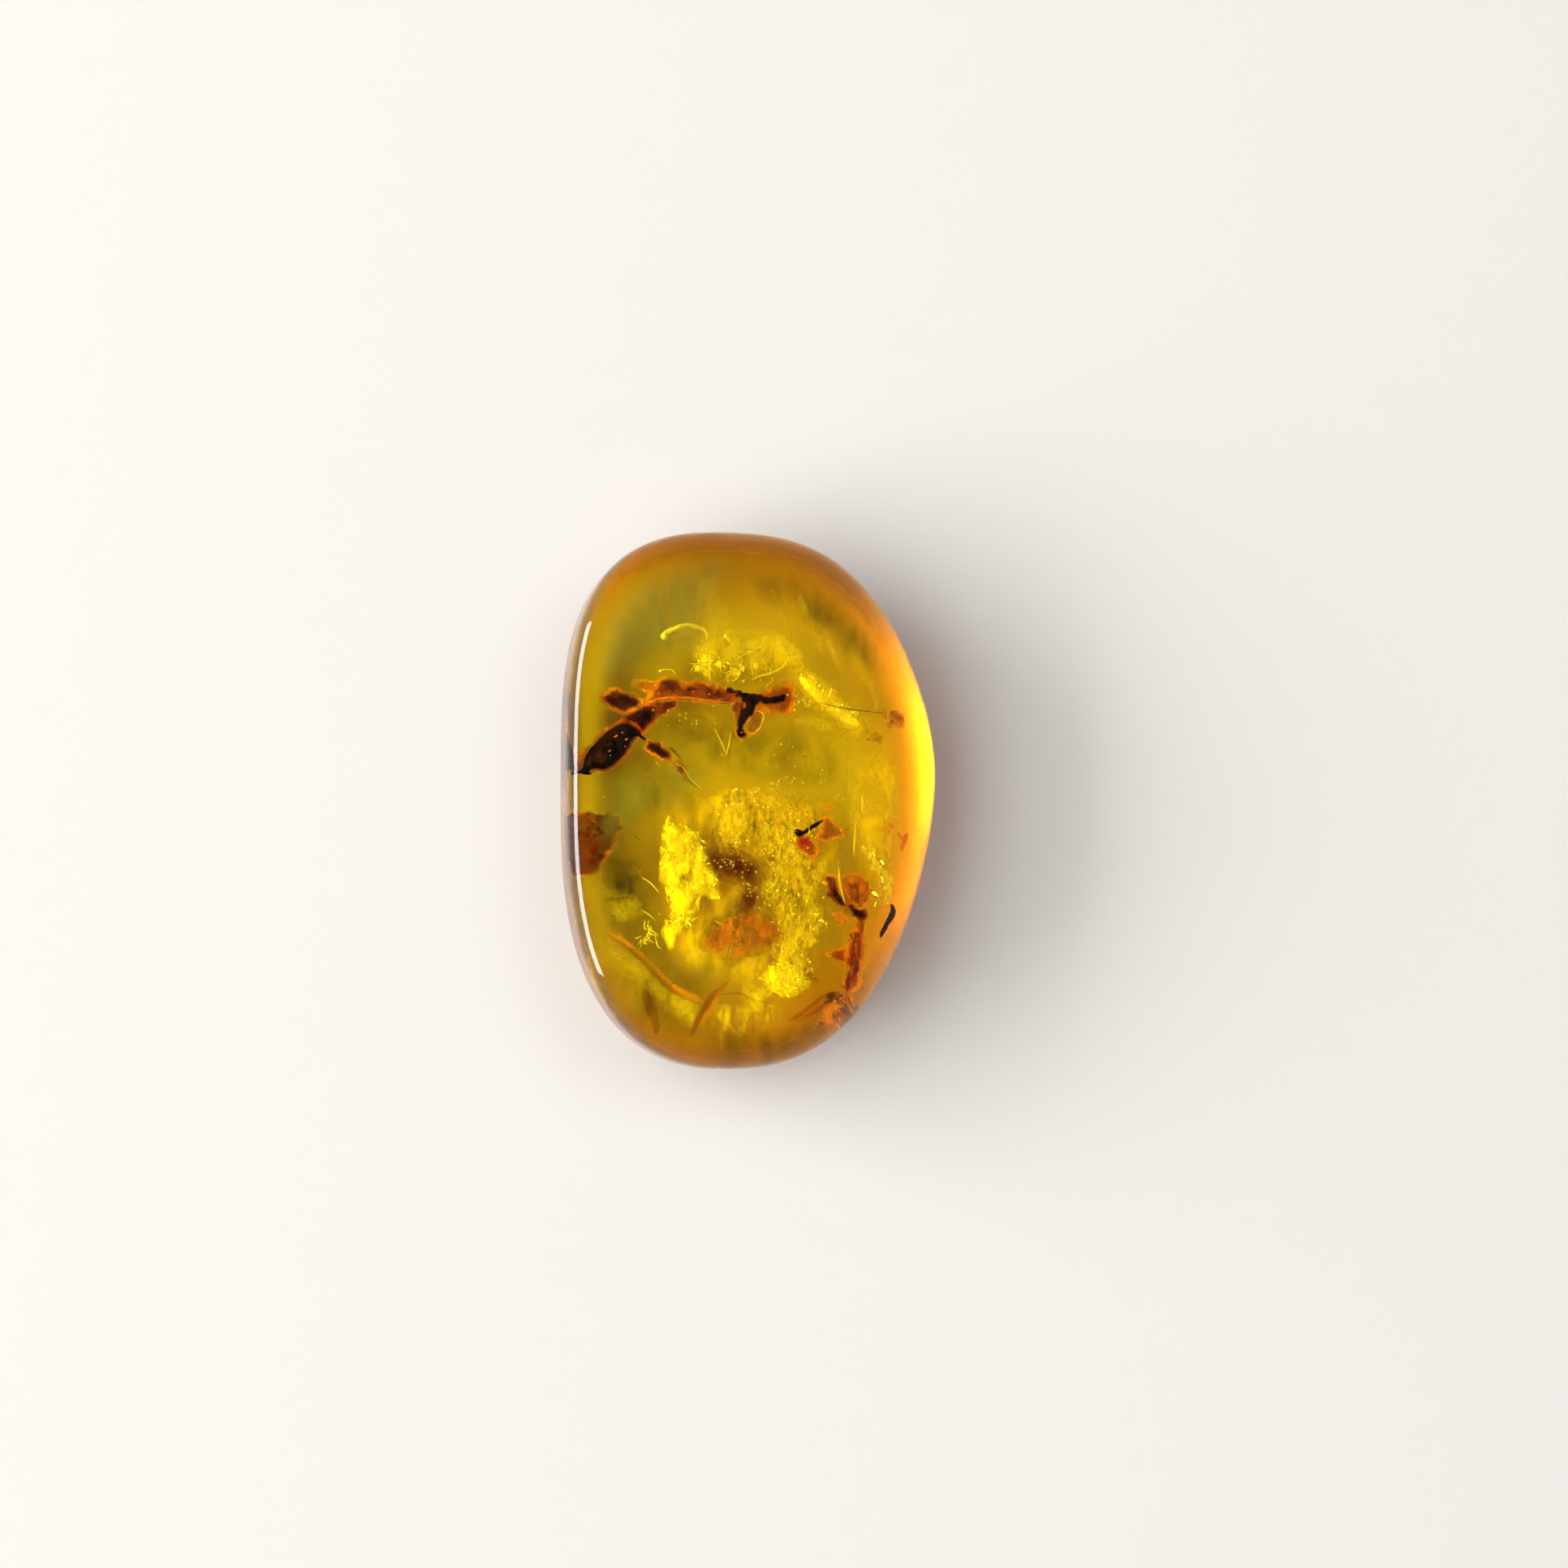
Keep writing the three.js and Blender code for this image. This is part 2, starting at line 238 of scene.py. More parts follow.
# The mesh under work as a finished piece, in metres, standing for the named solids
def make_piece(name, material, slot, *solids, smooth=True):
    bmesh.ops.scale(bm, vec=(MM, MM, MM), verts=bm.verts)
    for face in bm.faces:
        face.smooth = smooth
    mesh = bpy.data.meshes.new(name)
    bm.to_mesh(mesh)
    bm.clear()
    mesh.materials.append(material)
    piece = bpy.data.objects.new(name, mesh)
    bpy.context.scene.collection.objects.link(piece)
    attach(piece, "root")
    if solids:
        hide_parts(*solids)


# Charcoal: near-black, with brown grain
charcoal = plant_material("charred_wood", "#3A1A05", "#080301", 0.5, 0.03, {"Roughness": 0.4, "IOR": 1.1})
# Wood soaked with resin: brown where it is thin, black where it is thick
soaked_wood = soaked_material("soaked_wood", "#DEC400", 10000)

bud_outline = [
    (-9.05, 1.55), (-9.06, 1.96), (-8.92, 2.56), (-8.46, 3.24), (-8.0, 3.73), (-7.5, 4.09), (-7.07, 4.19),
    (-6.66, 4.01), (-6.33, 3.64), (-6.77, 3.26), (-7.03, 2.73), (-7.43, 2.24), (-7.85, 1.86), (-8.26, 1.61),
    (-8.64, 1.68),
]
scrap(bud_outline, 1.3, 0.6, lumpy=0.3, torn=0.03)
rod([(-6.6, 3.8, 4.5), (-6.22, 3.42, 4.5), (-5.97, 3.26, 4.5)], [0.16, 0.08, 0.04])
rod([(-8.85, 1.8, 4.5), (-9.02, 1.45, 4.5), (-8.8, 1.36, 4.5)], [0.16, 0.12, 0.04])
make_piece("bud", charcoal, "charred_wood", "bud")
scrap(bud_outline, 0.4, 0.35, grow=0.16, torn=0.03)
make_piece("bud_skin", soaked_wood, "brown_wood")
# Bare orange wood
orange_wood = plant_material("orange_wood", "#FFB038", "#D87810", 0.5, 0.01, {"Roughness": 0.4, "IOR": 1.2})


# A cloud of matter too fine to see one by one: its cover comes from the mesh, its wisps have a real size
def veil_material(name, colour, size_mm, thin, thick):
    material, tree, shader = new_material(name, {"Base Color": linear(colour), "Roughness": 0.8, "IOR": 1.1})
    place = add_node(tree, "TexCoord").outputs["Object"]
    drift = add_node(tree, "Mapping", {"Vector": place}, {"Scale": (1, 0.5, 1), "Rotation": (0, 0, -0.6)})
    cloud = add_node(
        tree,
        "TexNoise",
        {"Vector": drift.outputs[0]},
        {"Scale": 1 / (size_mm * MM), "Detail": 6.0, "Roughness": 0.55, "Distortion": 0.8},
    )
    depth = add_node(
        tree,
        "MapRange",
        {"Value": cloud.outputs[0]},
        {"From Min": 0.35, "From Max": 0.7, "To Min": thin, "To Max": thick},
    )
    cover = add_node(tree, "Attribute", attribute_name="cover")
    alpha = add_node(
        tree, "Math", {0: depth.outputs[0], 1: cover.outputs["Fac"]}, operation="MULTIPLY", use_clamp=True
    )
    tree.links.new(alpha.outputs[0], shader.inputs["Alpha"])
    return material


# How much of a thin sheet is there, kept at each corner of its mesh
def cover_layer():
    layers = bm.verts.layers.float
    return layers.get("cover") or layers.new("cover")


# A thin wavy sheet that fades out towards its outline
def veil(outline, level, fade, waves=0.4):
    loop = rounded(outline)
    cover = cover_layer()
    for vert in sheet(loop, min(0.25, 0.5 * fade)):
        spot = Vector((vert.co.x, vert.co.y, level))
        depth = (nearest(vert.co.xy, loop) - vert.co.xy).length
        share = min(depth / fade, 1)
        vert[cover] = share * share * (3 - 2 * share)
        vert.co.z = level + waves * noise.noise(spot / 2)


# A soft band along an outline: bare wood with a painted glow, where light would shine through the thin edge
def fringe(outline, width, level=LEVEL + 0.1, grow=0.0, torn=0.12):
    cover = cover_layer()
    rails = []
    for out, share in ((-1.0, 0.0), (-0.2, 1.0), (0.3, 1.0), (1.0, 0.0)):
        loop = rounded(outline, grow + out * width, 6, torn)
        rail = bmesh.ops.create_circle(bm, segments=len(loop), radius=1)["verts"]
        for vert, point in zip(rail, loop):
            vert.co = (*point, level + 0.15 * noise.noise((*point / 0.8, 1.0)))
            vert[cover] = share
        rails.append(list({edge for vert in rail for edge in vert.link_edges}))
    for inner, outer in zip(rails, rails[1:]):
        made = bmesh.ops.bridge_loops(bm, edges=inner + outer)["faces"]
        bmesh.ops.recalc_face_normals(bm, faces=made)
        if sum(face.normal.z for face in made) < 0:
            bmesh.ops.reverse_faces(bm, faces=made)


# Fibres of bare wood at a torn edge, with a painted orange glow
edge_glow_fibres = veil_material("edge_glow_fibres", "#FF9A28", 0.5, 0.1, 0.9)
fringe(bud_outline, 0.16, 4.5, 0.12, 0.03)
make_piece("bud_fringe", edge_glow_fibres, "orange_leaf")
for x, y, length in ((-8.23, 2.48, 0.3), (-7.81, 3.34, 0.22), (-7.2, 3.21, 0.16), (-8.47, 2.34, 0.14)):
    rod([(x, y, 5.1), (x + length, y + 0.6 * length, 5.12)], [0.03, 0.05], 8, 10)
make_piece("bud_flecks", orange_wood, "orange_leaf")


# The bud scale: a thin brown scale that came off the bud and lies loose behind it.
# It is wood soaked with resin, darkest at its thick end, next to the stem.
scale_outline = [
    (-8.24, 5.52), (-7.78, 5.97), (-7.36, 5.92), (-6.85, 5.7), (-6.33, 5.41), (-6.44, 5.08), (-7.0, 4.89),
    (-7.57, 4.9), (-7.99, 5.17),
]
scrap(scale_outline, 0.3, 0.3, lumpy=1.0)
scrap([(-7.5, 5.7), (-7.1, 5.78), (-6.42, 5.42), (-6.5, 5.12), (-7.1, 5.1), (-7.4, 5.3)], 0.6, 0.4)
make_piece("bud_scale", soaked_wood, "brown_wood", "bud_scale")


# The stem: two dark joints next to the bud, then an arched shoot with lumps of bark on its upper edge.
# All of it lies in a soaked orange sheath, and a bare rib shines along its lower edge.
joint_outline = [
    (-7.25, 4.27), (-6.78, 4.76), (-6.14, 5.09), (-5.73, 5.15), (-5.39, 4.78), (-5.43, 4.54), (-5.81, 4.18),
    (-6.22, 3.72), (-6.52, 3.94), (-6.96, 4.16),
]
second_outline = [
    (-5.81, 5.21), (-5.05, 5.4), (-4.3, 5.54), (-4.26, 5.24), (-4.71, 4.91), (-5.34, 4.56), (-5.51, 4.86),
]
sheath_outline = [
    (-5.89, 5.43), (-5.51, 6.06), (-5.14, 6.53), (-4.61, 6.67), (-4.15, 6.51), (-3.91, 6.22), (-3.7, 6.39),
    (-3.24, 6.54), (-2.79, 6.48), (-2.33, 6.29), (-1.8, 6.27), (-1.42, 6.04), (-0.96, 5.79), (-0.89, 5.49),
    (-1.42, 5.43), (-2.18, 5.47), (-3.09, 5.57), (-4.0, 5.63), (-4.91, 5.6),
]
dice = random.Random(7)


# One more copy of a small shape
def stamp(shape):
    shape.verts.index_update()
    copies = [bm.verts.new(vert.co) for vert in shape.verts]
    for face in shape.faces:
        bm.faces.new([copies[vert.index] for vert in face.verts])
    return copies


# A cloud of broken bits around a place
def crumbs(middle, spread, count, size):
    for _ in range(count):
        spot = Vector([dice.gauss(place, width) for place, width in zip(middle, spread)])
        scale = size * dice.uniform(0.4, 1.0)
        for vert in stamp(ball):
            bump = 1 + 0.9 * noise.noise(vert.co * 1.3 + spot * 7)
            vert.co = spot + scale * bump * Vector((vert.co.x, vert.co.y, 0.5 * vert.co.z))


ball = bmesh.new()
bmesh.ops.create_icosphere(ball, subdivisions=2, radius=1)
first_lump = [(-5.15, 6.5), (-4.62, 6.65), (-4.17, 6.48), (-3.94, 6.19), (-4.32, 5.92), (-4.92, 5.94)]
second_lump = [(-3.8, 6.15), (-3.41, 6.31), (-2.92, 6.2), (-3.03, 5.97), (-3.64, 5.96)]
torn_leaf = [(-6.65, 6.53), (-6.1, 6.49), (-5.42, 6.44), (-5.5, 6.14), (-6.02, 6.02), (-6.47, 6.23)]
scrap(joint_outline, 0.6, 0.45, lumpy=1.0)
scrap(second_outline, 0.4, 0.3)
scrap(sheath_outline, 0.22, 0.35, lumpy=1.4, lump=0.8)
scrap(first_lump, 0.6, 0.35, 4.8, lumpy=0.8)
scrap(second_lump, 0.8, 0.3, 4.8, lumpy=0.8)
crumbs((-4.6, 6.2, 4.9), (0.3, 0.15, 0.05), 5, 0.24)
crumbs((-2.2, 5.9, 4.9), (0.7, 0.1, 0.05), 5, 0.24)
crumbs((-0.6, 5.3, 4.7), (0.3, 0.2, 0.05), 5, 0.18)
make_piece("stem", soaked_wood, "brown_wood", "twig_stem")

# Leaf and young wood soaked with resin: clear orange
soaked_leaf = soaked_material("soaked_leaf", "#FAD000", 10000)
scrap(scale_outline, 0.22, 0.25, grow=0.16)
scrap(joint_outline, 0.22, 0.25, grow=0.16)
scrap(second_outline, 0.18, 0.25, grow=0.12)
scrap(sheath_outline, 0.24, 0.25, grow=0.1)
scrap(torn_leaf, 0.1, 0.3, 4.3)
make_piece("stem_sheath", soaked_leaf, "orange_leaf")
stem_rib = [
    (-6.1, 5.15, 4.7), (-5.8, 5.38, 4.75), (-5.07, 5.59, 4.8), (-4.02, 5.65, 4.8), (-3.11, 5.59, 4.8),
    (-2.19, 5.48, 4.75), (-1.28, 5.4, 4.7),
]
rod(stem_rib, [0.02, 0.04, 0.06, 0.05, 0.05, 0.06, 0.03], 8, 40, lump=0.3)
crumbs((-4.0, 6.0, 4.8), (1.0, 0.2, 0.04), 9, 0.07)
make_piece("stem_rib", orange_wood, "orange_leaf")
fringe(scale_outline, 0.2, grow=0.06)
fringe(joint_outline, 0.16, 4.5, 0.06)
fringe(second_outline, 0.14, 4.5, 0.04)
fringe(sheath_outline, 0.24)
fringe(torn_leaf, 0.16, 4.4)
veil(torn_leaf, 4.4, 0.2, 0.1)
make_piece("stem_fringe", edge_glow_fibres, "orange_leaf")
# Young bark: a red-brown glow, darker in patches
young_bark = veil_material("young_bark", "#C4620C", 1.3, 0.1, 0.75)
veil(sheath_outline, 4.95, 0.12, 0.1)
veil(second_outline, 4.8, 0.2, 0.1)
make_piece("stem_bark", young_bark, "brown_wood")


# The two arms past the fork: charred twigs inside a halo of soaked orange wood.
# The right arm ends in an upturned tip, the down arm in a blunt knob with a torn frill beside it.
right_arm = [
    (-1.69, 6.12), (-1.27, 6.26), (-0.81, 6.09), (-0.24, 5.97), (0.25, 5.9), (0.59, 5.75), (1.01, 5.74),
    (1.46, 5.82), (1.74, 6.03), (1.85, 5.87), (1.68, 5.58), (1.31, 5.43), (0.86, 5.38), (0.48, 5.38),
    (-0.1, 5.4), (-0.58, 5.53), (-0.96, 5.81), (-1.42, 5.98),
]
down_arm = [
    (-0.55, 5.7), (0.3, 5.55), (0.18, 5.13), (0.03, 4.78), (-0.24, 4.52), (-0.44, 4.29), (-0.49, 3.95),
    (-0.41, 3.65), (-0.58, 3.48), (-0.82, 3.57), (-0.88, 4.02), (-0.83, 4.47), (-0.72, 4.85), (-0.51, 5.24),
]
scrap(right_arm, 0.7, 0.3, spacing=0.07)
make_piece("arm_right", charcoal, "charred_wood", "twig_arm_right")
scrap(down_arm, 0.7, 0.3, spacing=0.07)
make_piece("arm_down", charcoal, "charred_wood", "twig_arm_down")
tip_halo = [
    (0.26, 5.92), (0.79, 6.08), (1.24, 6.4), (1.76, 6.53), (2.17, 6.25), (2.3, 5.65), (2.07, 5.05),
    (1.61, 4.81), (1.01, 4.89), (0.56, 5.1), (0.18, 5.02),
]
knob_halo = [
    (-1.15, 5.45), (-0.58, 5.65), (-0.42, 5.23), (-0.5, 4.25), (-0.35, 3.58), (-0.61, 3.38), (-0.92, 3.64),
    (-1.02, 4.4),
]
frill = [(0.15, 5.01), (0.56, 4.79), (0.35, 4.04), (-0.12, 3.65), (-0.42, 3.88), (-0.27, 4.41)]
scrap(tip_halo, 0.26, 0.4, lumpy=1.4, lump=0.5, torn=0.06)
scrap(knob_halo, 0.3, 0.3, lumpy=1.0)
scrap(frill, 0.14, 0.3, lumpy=1.0)
make_piece("arm_halo", soaked_leaf, "orange_leaf")
fringe(tip_halo, 0.3, grow=-0.06, torn=0.06)
fringe(knob_halo, 0.18, grow=-0.04)
fringe(frill, 0.14)
make_piece("arm_fringe", edge_glow_fibres, "orange_leaf")
veil(tip_halo, 4.4, 0.3, 0.1)
make_piece("tip_bark", young_bark, "brown_wood")


# The seed husk: a split red-brown capsule with a thin tail, loose below the stem.
# It is wood soaked with resin in a clear orange skin, broken in two near the tail.
husk_outline = [
    (-5.89, 3.12), (-5.64, 3.26), (-5.13, 2.98), (-4.73, 2.6), (-4.56, 2.2), (-4.75, 2.1), (-5.2, 2.31),
    (-5.65, 2.6), (-5.92, 2.82),
]
husk_tip = [(-4.38, 2.02), (-4.07, 2.04), (-3.82, 1.61), (-3.78, 1.2), (-3.99, 1.27), (-4.23, 1.63)]
scrap(husk_outline, 0.6, 0.2)
scrap(husk_tip, 0.6, 0.2)
rod([(-4.76, 2.91, 4.6), (-4.38, 2.61, 4.6), (-4.02, 2.18, 4.6)], [0.06, 0.08, 0.05], 8, 20)
rod([(-3.9, 1.3, 4.5), (-3.31, 0.83, 4.5), (-2.85, 0.5, 4.5)], [0.1, 0.06, 0.04], 8, 20)
make_piece("seed_husk", soaked_wood, "orange_leaf", "seed_husk")
scrap(husk_outline, 0.2, 0.2, grow=0.12)
scrap(husk_tip, 0.2, 0.2, grow=0.12)
make_piece("husk_skin", soaked_leaf, "orange_leaf")
fringe(husk_outline, 0.14, grow=0.02)
fringe(husk_tip, 0.14, grow=0.02)
make_piece("husk_fringe", edge_glow_fibres, "orange_leaf")


# The bark chip: a brown flake by the left rim, uneven in thickness and lumpy with broken bits.
# It is wood soaked with resin on a clear orange skin, and a band of bare fibres with painted glow runs along
# its edge.
chip_outline = [
    (-9.2, -1.05), (-8.5, -0.95), (-7.9, -0.98), (-7.45, -1.1), (-7.5, -1.6), (-7.7, -2.45), (-8.3, -3.5),
    (-8.8, -4.2), (-9.2, -3.6),
]
scrap(chip_outline, 0.14, 0.5, lumpy=2.0, lump=0.5)
crumbs((-8.4, -1.8, 4.6), (0.4, 0.6, 0.05), 16, 0.22)
make_piece("bark_chip", soaked_wood, "brown_wood", "bark_chip")
scrap(chip_outline, 0.3, 0.5, 4.4, grow=0.08, lumpy=1.2)
make_piece("bark_skin", soaked_leaf, "orange_leaf")
fringe(chip_outline, 0.18, 4.4)
make_piece("bark_fringe", edge_glow_fibres, "orange_leaf")


# The bent needle and the leaf scrap under it.
# The needle is charred, with a knob at its end; the scrap is a thin orange leaf folded in two.
rod(
    [
        (2.35, -1.6, 4.7), (2.55, -1.8, 4.7), (2.83, -1.77, 4.7), (3.13, -1.57, 4.7), (3.52, -1.32, 4.7),
        (3.9, -1.05, 4.7),
    ],
    [0.12, 0.19, 0.11, 0.12, 0.1, 0.05],
)
make_piece("needle", charcoal, "charred_wood", "needle")
scrap_right = [
    (3.89, -1.03), (4.14, -0.97), (4.59, -1.33), (4.98, -1.72), (4.97, -1.86), (4.48, -2.06), (4.09, -2.21),
    (3.64, -2.13), (3.59, -1.96), (3.84, -1.56),
]
scrap_left = [
    (2.42, -2.08), (2.75, -1.88), (3.09, -1.99), (3.37, -2.3), (3.51, -2.58), (3.42, -3.08), (3.26, -3.31),
    (3.03, -3.0), (2.73, -2.87), (2.48, -2.5),
]
scrap(scrap_right, 0.26, 0.3, lumpy=1.0)
scrap(scrap_left, 0.45, 0.3, lumpy=1.2)
make_piece("leaf_scrap", soaked_leaf, "orange_leaf", "leaf_scrap")
fringe(scrap_right, 0.14)
fringe(scrap_left, 0.12)
veil([(3.6, -0.2), (4.1, 0.0), (4.9, -0.3), (4.6, -0.6), (3.9, -0.9)], 4.3, 0.3)
make_piece("scrap_fringe", edge_glow_fibres, "orange_leaf")


# The leaf fan: two wings of a folded leaf on a dark base, with a pale needle across it.
# The splinter, the sliver and the two crumbs lie near the right rim.
fan_left = [(3.98, -4.2), (4.47, -4.19), (4.69, -4.86), (5.12, -5.85), (4.58, -5.64), (4.14, -4.98)]
fan_right = [(4.9, -4.3), (5.79, -4.06), (6.33, -4.49), (6.38, -5.27), (5.88, -5.95), (5.2, -5.2)]
scrap(fan_left, 0.3, 0.3, lumpy=1.0, lump=0.3)
scrap(fan_right, 0.36, 0.4, lumpy=1.2, lump=0.35)
scrap([(4.4, -4.5), (5.2, -4.4), (5.7, -5.2), (5.7, -6.3), (5.0, -6.0)], 0.16, 0.3, 4.3, lumpy=1.0)
make_piece("leaf_fan", soaked_leaf, "orange_leaf", "leaf_fan")
scrap(
    [(4.0, -4.7), (4.18, -5.26), (4.57, -5.59), (5.11, -5.97), (5.28, -5.97), (4.79, -5.31), (4.45, -5.0)],
    1.2, 0.3, grow=0.06,
)
scrap(fan_left, 0.25, 0.3, 4.7, lumpy=1.6, lump=0.3)
scrap([(5.12, -5.3), (5.77, -5.85), (6.31, -5.94), (6.19, -6.49), (5.76, -6.51), (5.22, -5.97)], 0.8, 0.3)
scrap(fan_right, 0.22, 0.4, 4.7, lumpy=1.8, lump=0.4)
make_piece("fan_base", soaked_wood, "brown_wood")
rod([(4.66, -3.64, 5.0), (4.77, -4.65, 5.0), (5.04, -5.7, 4.9)], [0.04, 0.08, 0.04], 8, 20)
# Bare pale wood
pale_wood = plain_material("pale_wood", "#FFEFA8", 0.4)
make_piece("fan_needle", pale_wood, "orange_leaf")
fringe(fan_left, 0.12, 4.8)
fringe(fan_right, 0.18, 4.8)
veil(fan_right, 4.85, 0.3, 0.1)
veil([(4.2, -6.0), (5.2, -6.1), (6.0, -6.6), (5.5, -7.1), (4.5, -6.7)], 4.4, 0.3)
veil([(7.1, -1.4), (7.5, -1.0), (7.9, -1.1), (7.7, -1.6), (7.2, -2.2)], 4.4, 0.3)
make_piece("fan_fringe", edge_glow_fibres, "orange_leaf")
rod(
    [(7.5, -5.6, 4.5), (7.56, -6.03, 4.5), (7.28, -6.59, 4.5), (7.03, -7.09, 4.5), (6.86, -7.44, 4.5)],
    [0.09, 0.13, 0.12, 0.11, 0.05],
)
make_piece("splinter", charcoal, "charred_wood", "splinter")
rod([(8.45, -1.7, 4.5), (8.29, -2.08, 4.5), (8.12, -2.7, 4.5)], [0.1, 0.14, 0.08])
rod([(7.95, -1.64, 4.5), (8.04, -1.85, 4.5), (8.15, -2.05, 4.5)], [0.06, 0.09, 0.05])
make_piece("sliver", soaked_leaf, "orange_leaf", "sliver")
scrap(
    [(7.4, 4.95), (7.75, 5.1), (8.1, 5.0), (8.35, 4.5), (8.3, 4.1), (7.9, 4.2), (7.6, 4.4)],
    0.16, 0.4, lumpy=1.0, lump=0.3,
)
crumbs((7.9, 4.6, 4.5), (0.25, 0.25, 0.05), 16, 0.16)
crumbs((7.3, 5.0, 4.5), (0.2, 0.1, 0.05), 5, 0.09)
make_piece("red_crumb", soaked_leaf, "orange_leaf", "red_crumb")
scrap([(6.3, 3.7), (6.7, 3.9), (7.1, 3.7), (6.9, 3.35), (6.5, 3.4)], 0.12, 0.3, lumpy=1.0, lump=0.3)
crumbs((6.7, 3.6, 4.5), (0.2, 0.2, 0.05), 8, 0.12)
crumbs((6.9, 2.9, 4.5), (0.2, 0.3, 0.05), 5, 0.08)
make_piece("small_crumb", soaked_leaf, "orange_leaf", "small_crumb")


# The broken frond: an orange stalk split into dark strands, one leaflet and a clump of bark at its end.
# Stalk and leaflet are soaked clear; the strands and the clump are darker wood with bare crumbs on it.
stalk_outline = [
    (5.37, -7.34), (5.25, -7.95), (5.11, -8.44), (5.15, -9.03), (5.21, -9.46), (4.99, -9.79),
    (4.92, -10.1), (5.16, -10.29), (5.41, -10.26), (5.62, -9.83), (5.82, -9.1), (5.9, -8.46),
    (5.97, -7.81), (5.96, -7.32), (5.75, -7.11),
]
scrap(stalk_outline, 0.3, 0.25, grow=0.12, lumpy=1.2, lump=0.35)
rod([(5.85, -6.2, 4.5), (5.9, -6.8, 4.5), (5.7, -7.5, 4.5)], [0.22, 0.2, 0.26], flat=0.8)
make_piece("frond_stalk", soaked_leaf, "orange_leaf", "frond_stalk")
for start, bend, end, radius in (
    ((5.6, -7.3), (5.45, -8.1), (5.3, -9.2), 0.1), ((5.85, -7.5), (5.75, -8.4), (5.6, -9.4), 0.07),
    ((5.5, -8.3), (5.6, -9.0), (5.3, -9.9), 0.09), ((5.25, -9.3), (5.15, -9.8), (5.05, -10.6), 0.13),
    ((5.9, -6.4), (5.95, -7.0), (5.8, -7.6), 0.06),
):
    middle = 0.35 * radius
    rod([(*start, 4.7), (*bend, 4.75), (*end, 4.7)], [middle, radius, middle], 10, 24, rough=0.6)
scrap([(4.2, -8.5), (4.6, -8.4), (5.1, -8.45), (4.8, -8.7)], 0.4, 0.15)
crumbs((5.5, -8.6, 4.8), (0.15, 0.9, 0.05), 16, 0.14)
make_piece("frond_strands", soaked_wood, "brown_wood")
leaflet_outline = [
    (4.08, -8.42), (4.55, -8.24), (5.14, -8.14), (5.22, -8.49), (5.18, -8.98), (4.75, -8.83), (4.33, -8.63),
]
fringe(stalk_outline, 0.2, 4.7, 0.04)
fringe(leaflet_outline, 0.12, 4.7)
make_piece("frond_fringe", edge_glow_fibres, "orange_leaf")
scrap(leaflet_outline, 0.35, 0.25, lumpy=0.9)
make_piece("frond_leaflet", soaked_leaf, "orange_leaf", "frond_leaflet")
scrap(
    [
        (3.84, -11.0), (4.33, -10.61), (4.89, -10.56), (5.17, -10.53), (5.08, -11.0), (4.88, -11.38),
        (4.54, -11.64), (4.39, -11.83), (4.18, -11.97), (3.84, -12.13), (3.58, -12.32), (3.76, -12.07),
        (4.08, -11.8), (3.91, -11.5),
    ],
    0.2, 0.25, lumpy=1.6, lump=0.4,
)
crumbs((4.6, -11.0, 4.6), (0.25, 0.28, 0.1), 26, 0.24)
crumbs((4.0, -11.8, 4.5), (0.25, 0.2, 0.1), 10, 0.16)
make_piece("bark_clump", soaked_wood, "brown_wood", "bark_clump")
crumbs((4.6, -11.0, 4.85), (0.4, 0.35, 0.05), 14, 0.09)
crumbs((4.0, -11.7, 4.75), (0.4, 0.25, 0.05), 8, 0.07)
make_piece("clump_crumbs", orange_wood, "orange_leaf")
veil([(3.2, -11.8), (4.0, -10.9), (4.8, -10.2), (5.6, -10.4), (5.2, -11.4), (4.2, -12.4)], 4.8, 0.4)
make_piece("clump_fringe", edge_glow_fibres, "orange_leaf")


# The stains: lumps of resin coloured by bark juice, brown above and orange-red below.
# They are clear, so only their thickness and their tint show.
brown_stain = soaked_material("brown_stained_resin", "#DBBC00", 1500)
scrap(
    [
        (-2.45, -3.13), (-1.69, -2.98), (-0.62, -3.19), (0.06, -3.86), (0.13, -4.76), (0.21, -5.65),
        (-0.32, -6.26), (-0.63, -5.96), (-0.47, -5.14), (-0.63, -4.47), (-1.38, -4.17), (-2.14, -3.73),
    ],
    2.2, 1.0, 4.3, grow=0.4, lump=0.7, lumpy=0.8, soft=2.0,
)
make_piece("brown_stain", brown_stain, "amber")
red_stain = soaked_material("red_stained_resin", "#F4BE00", 650)
scrap(
    [
        (-2.88, -7.91), (-2.28, -7.09), (-1.83, -6.71), (-1.07, -7.0), (-0.62, -6.33), (-0.16, -6.18),
        (0.89, -6.69), (1.41, -7.2), (1.41, -7.87), (0.43, -8.25), (-0.32, -8.4), (-1.07, -9.0),
        (-1.53, -8.86), (-1.38, -8.34), (-2.28, -8.27),
    ],
    2.0, 1.0, 4.3, grow=0.25, lump=0.6, lumpy=0.9, soft=1.6,
)
crumbs((-0.6, -7.5, 4.6), (0.9, 0.6, 0.15), 30, 0.28)
make_piece("red_stain", red_stain, "amber")


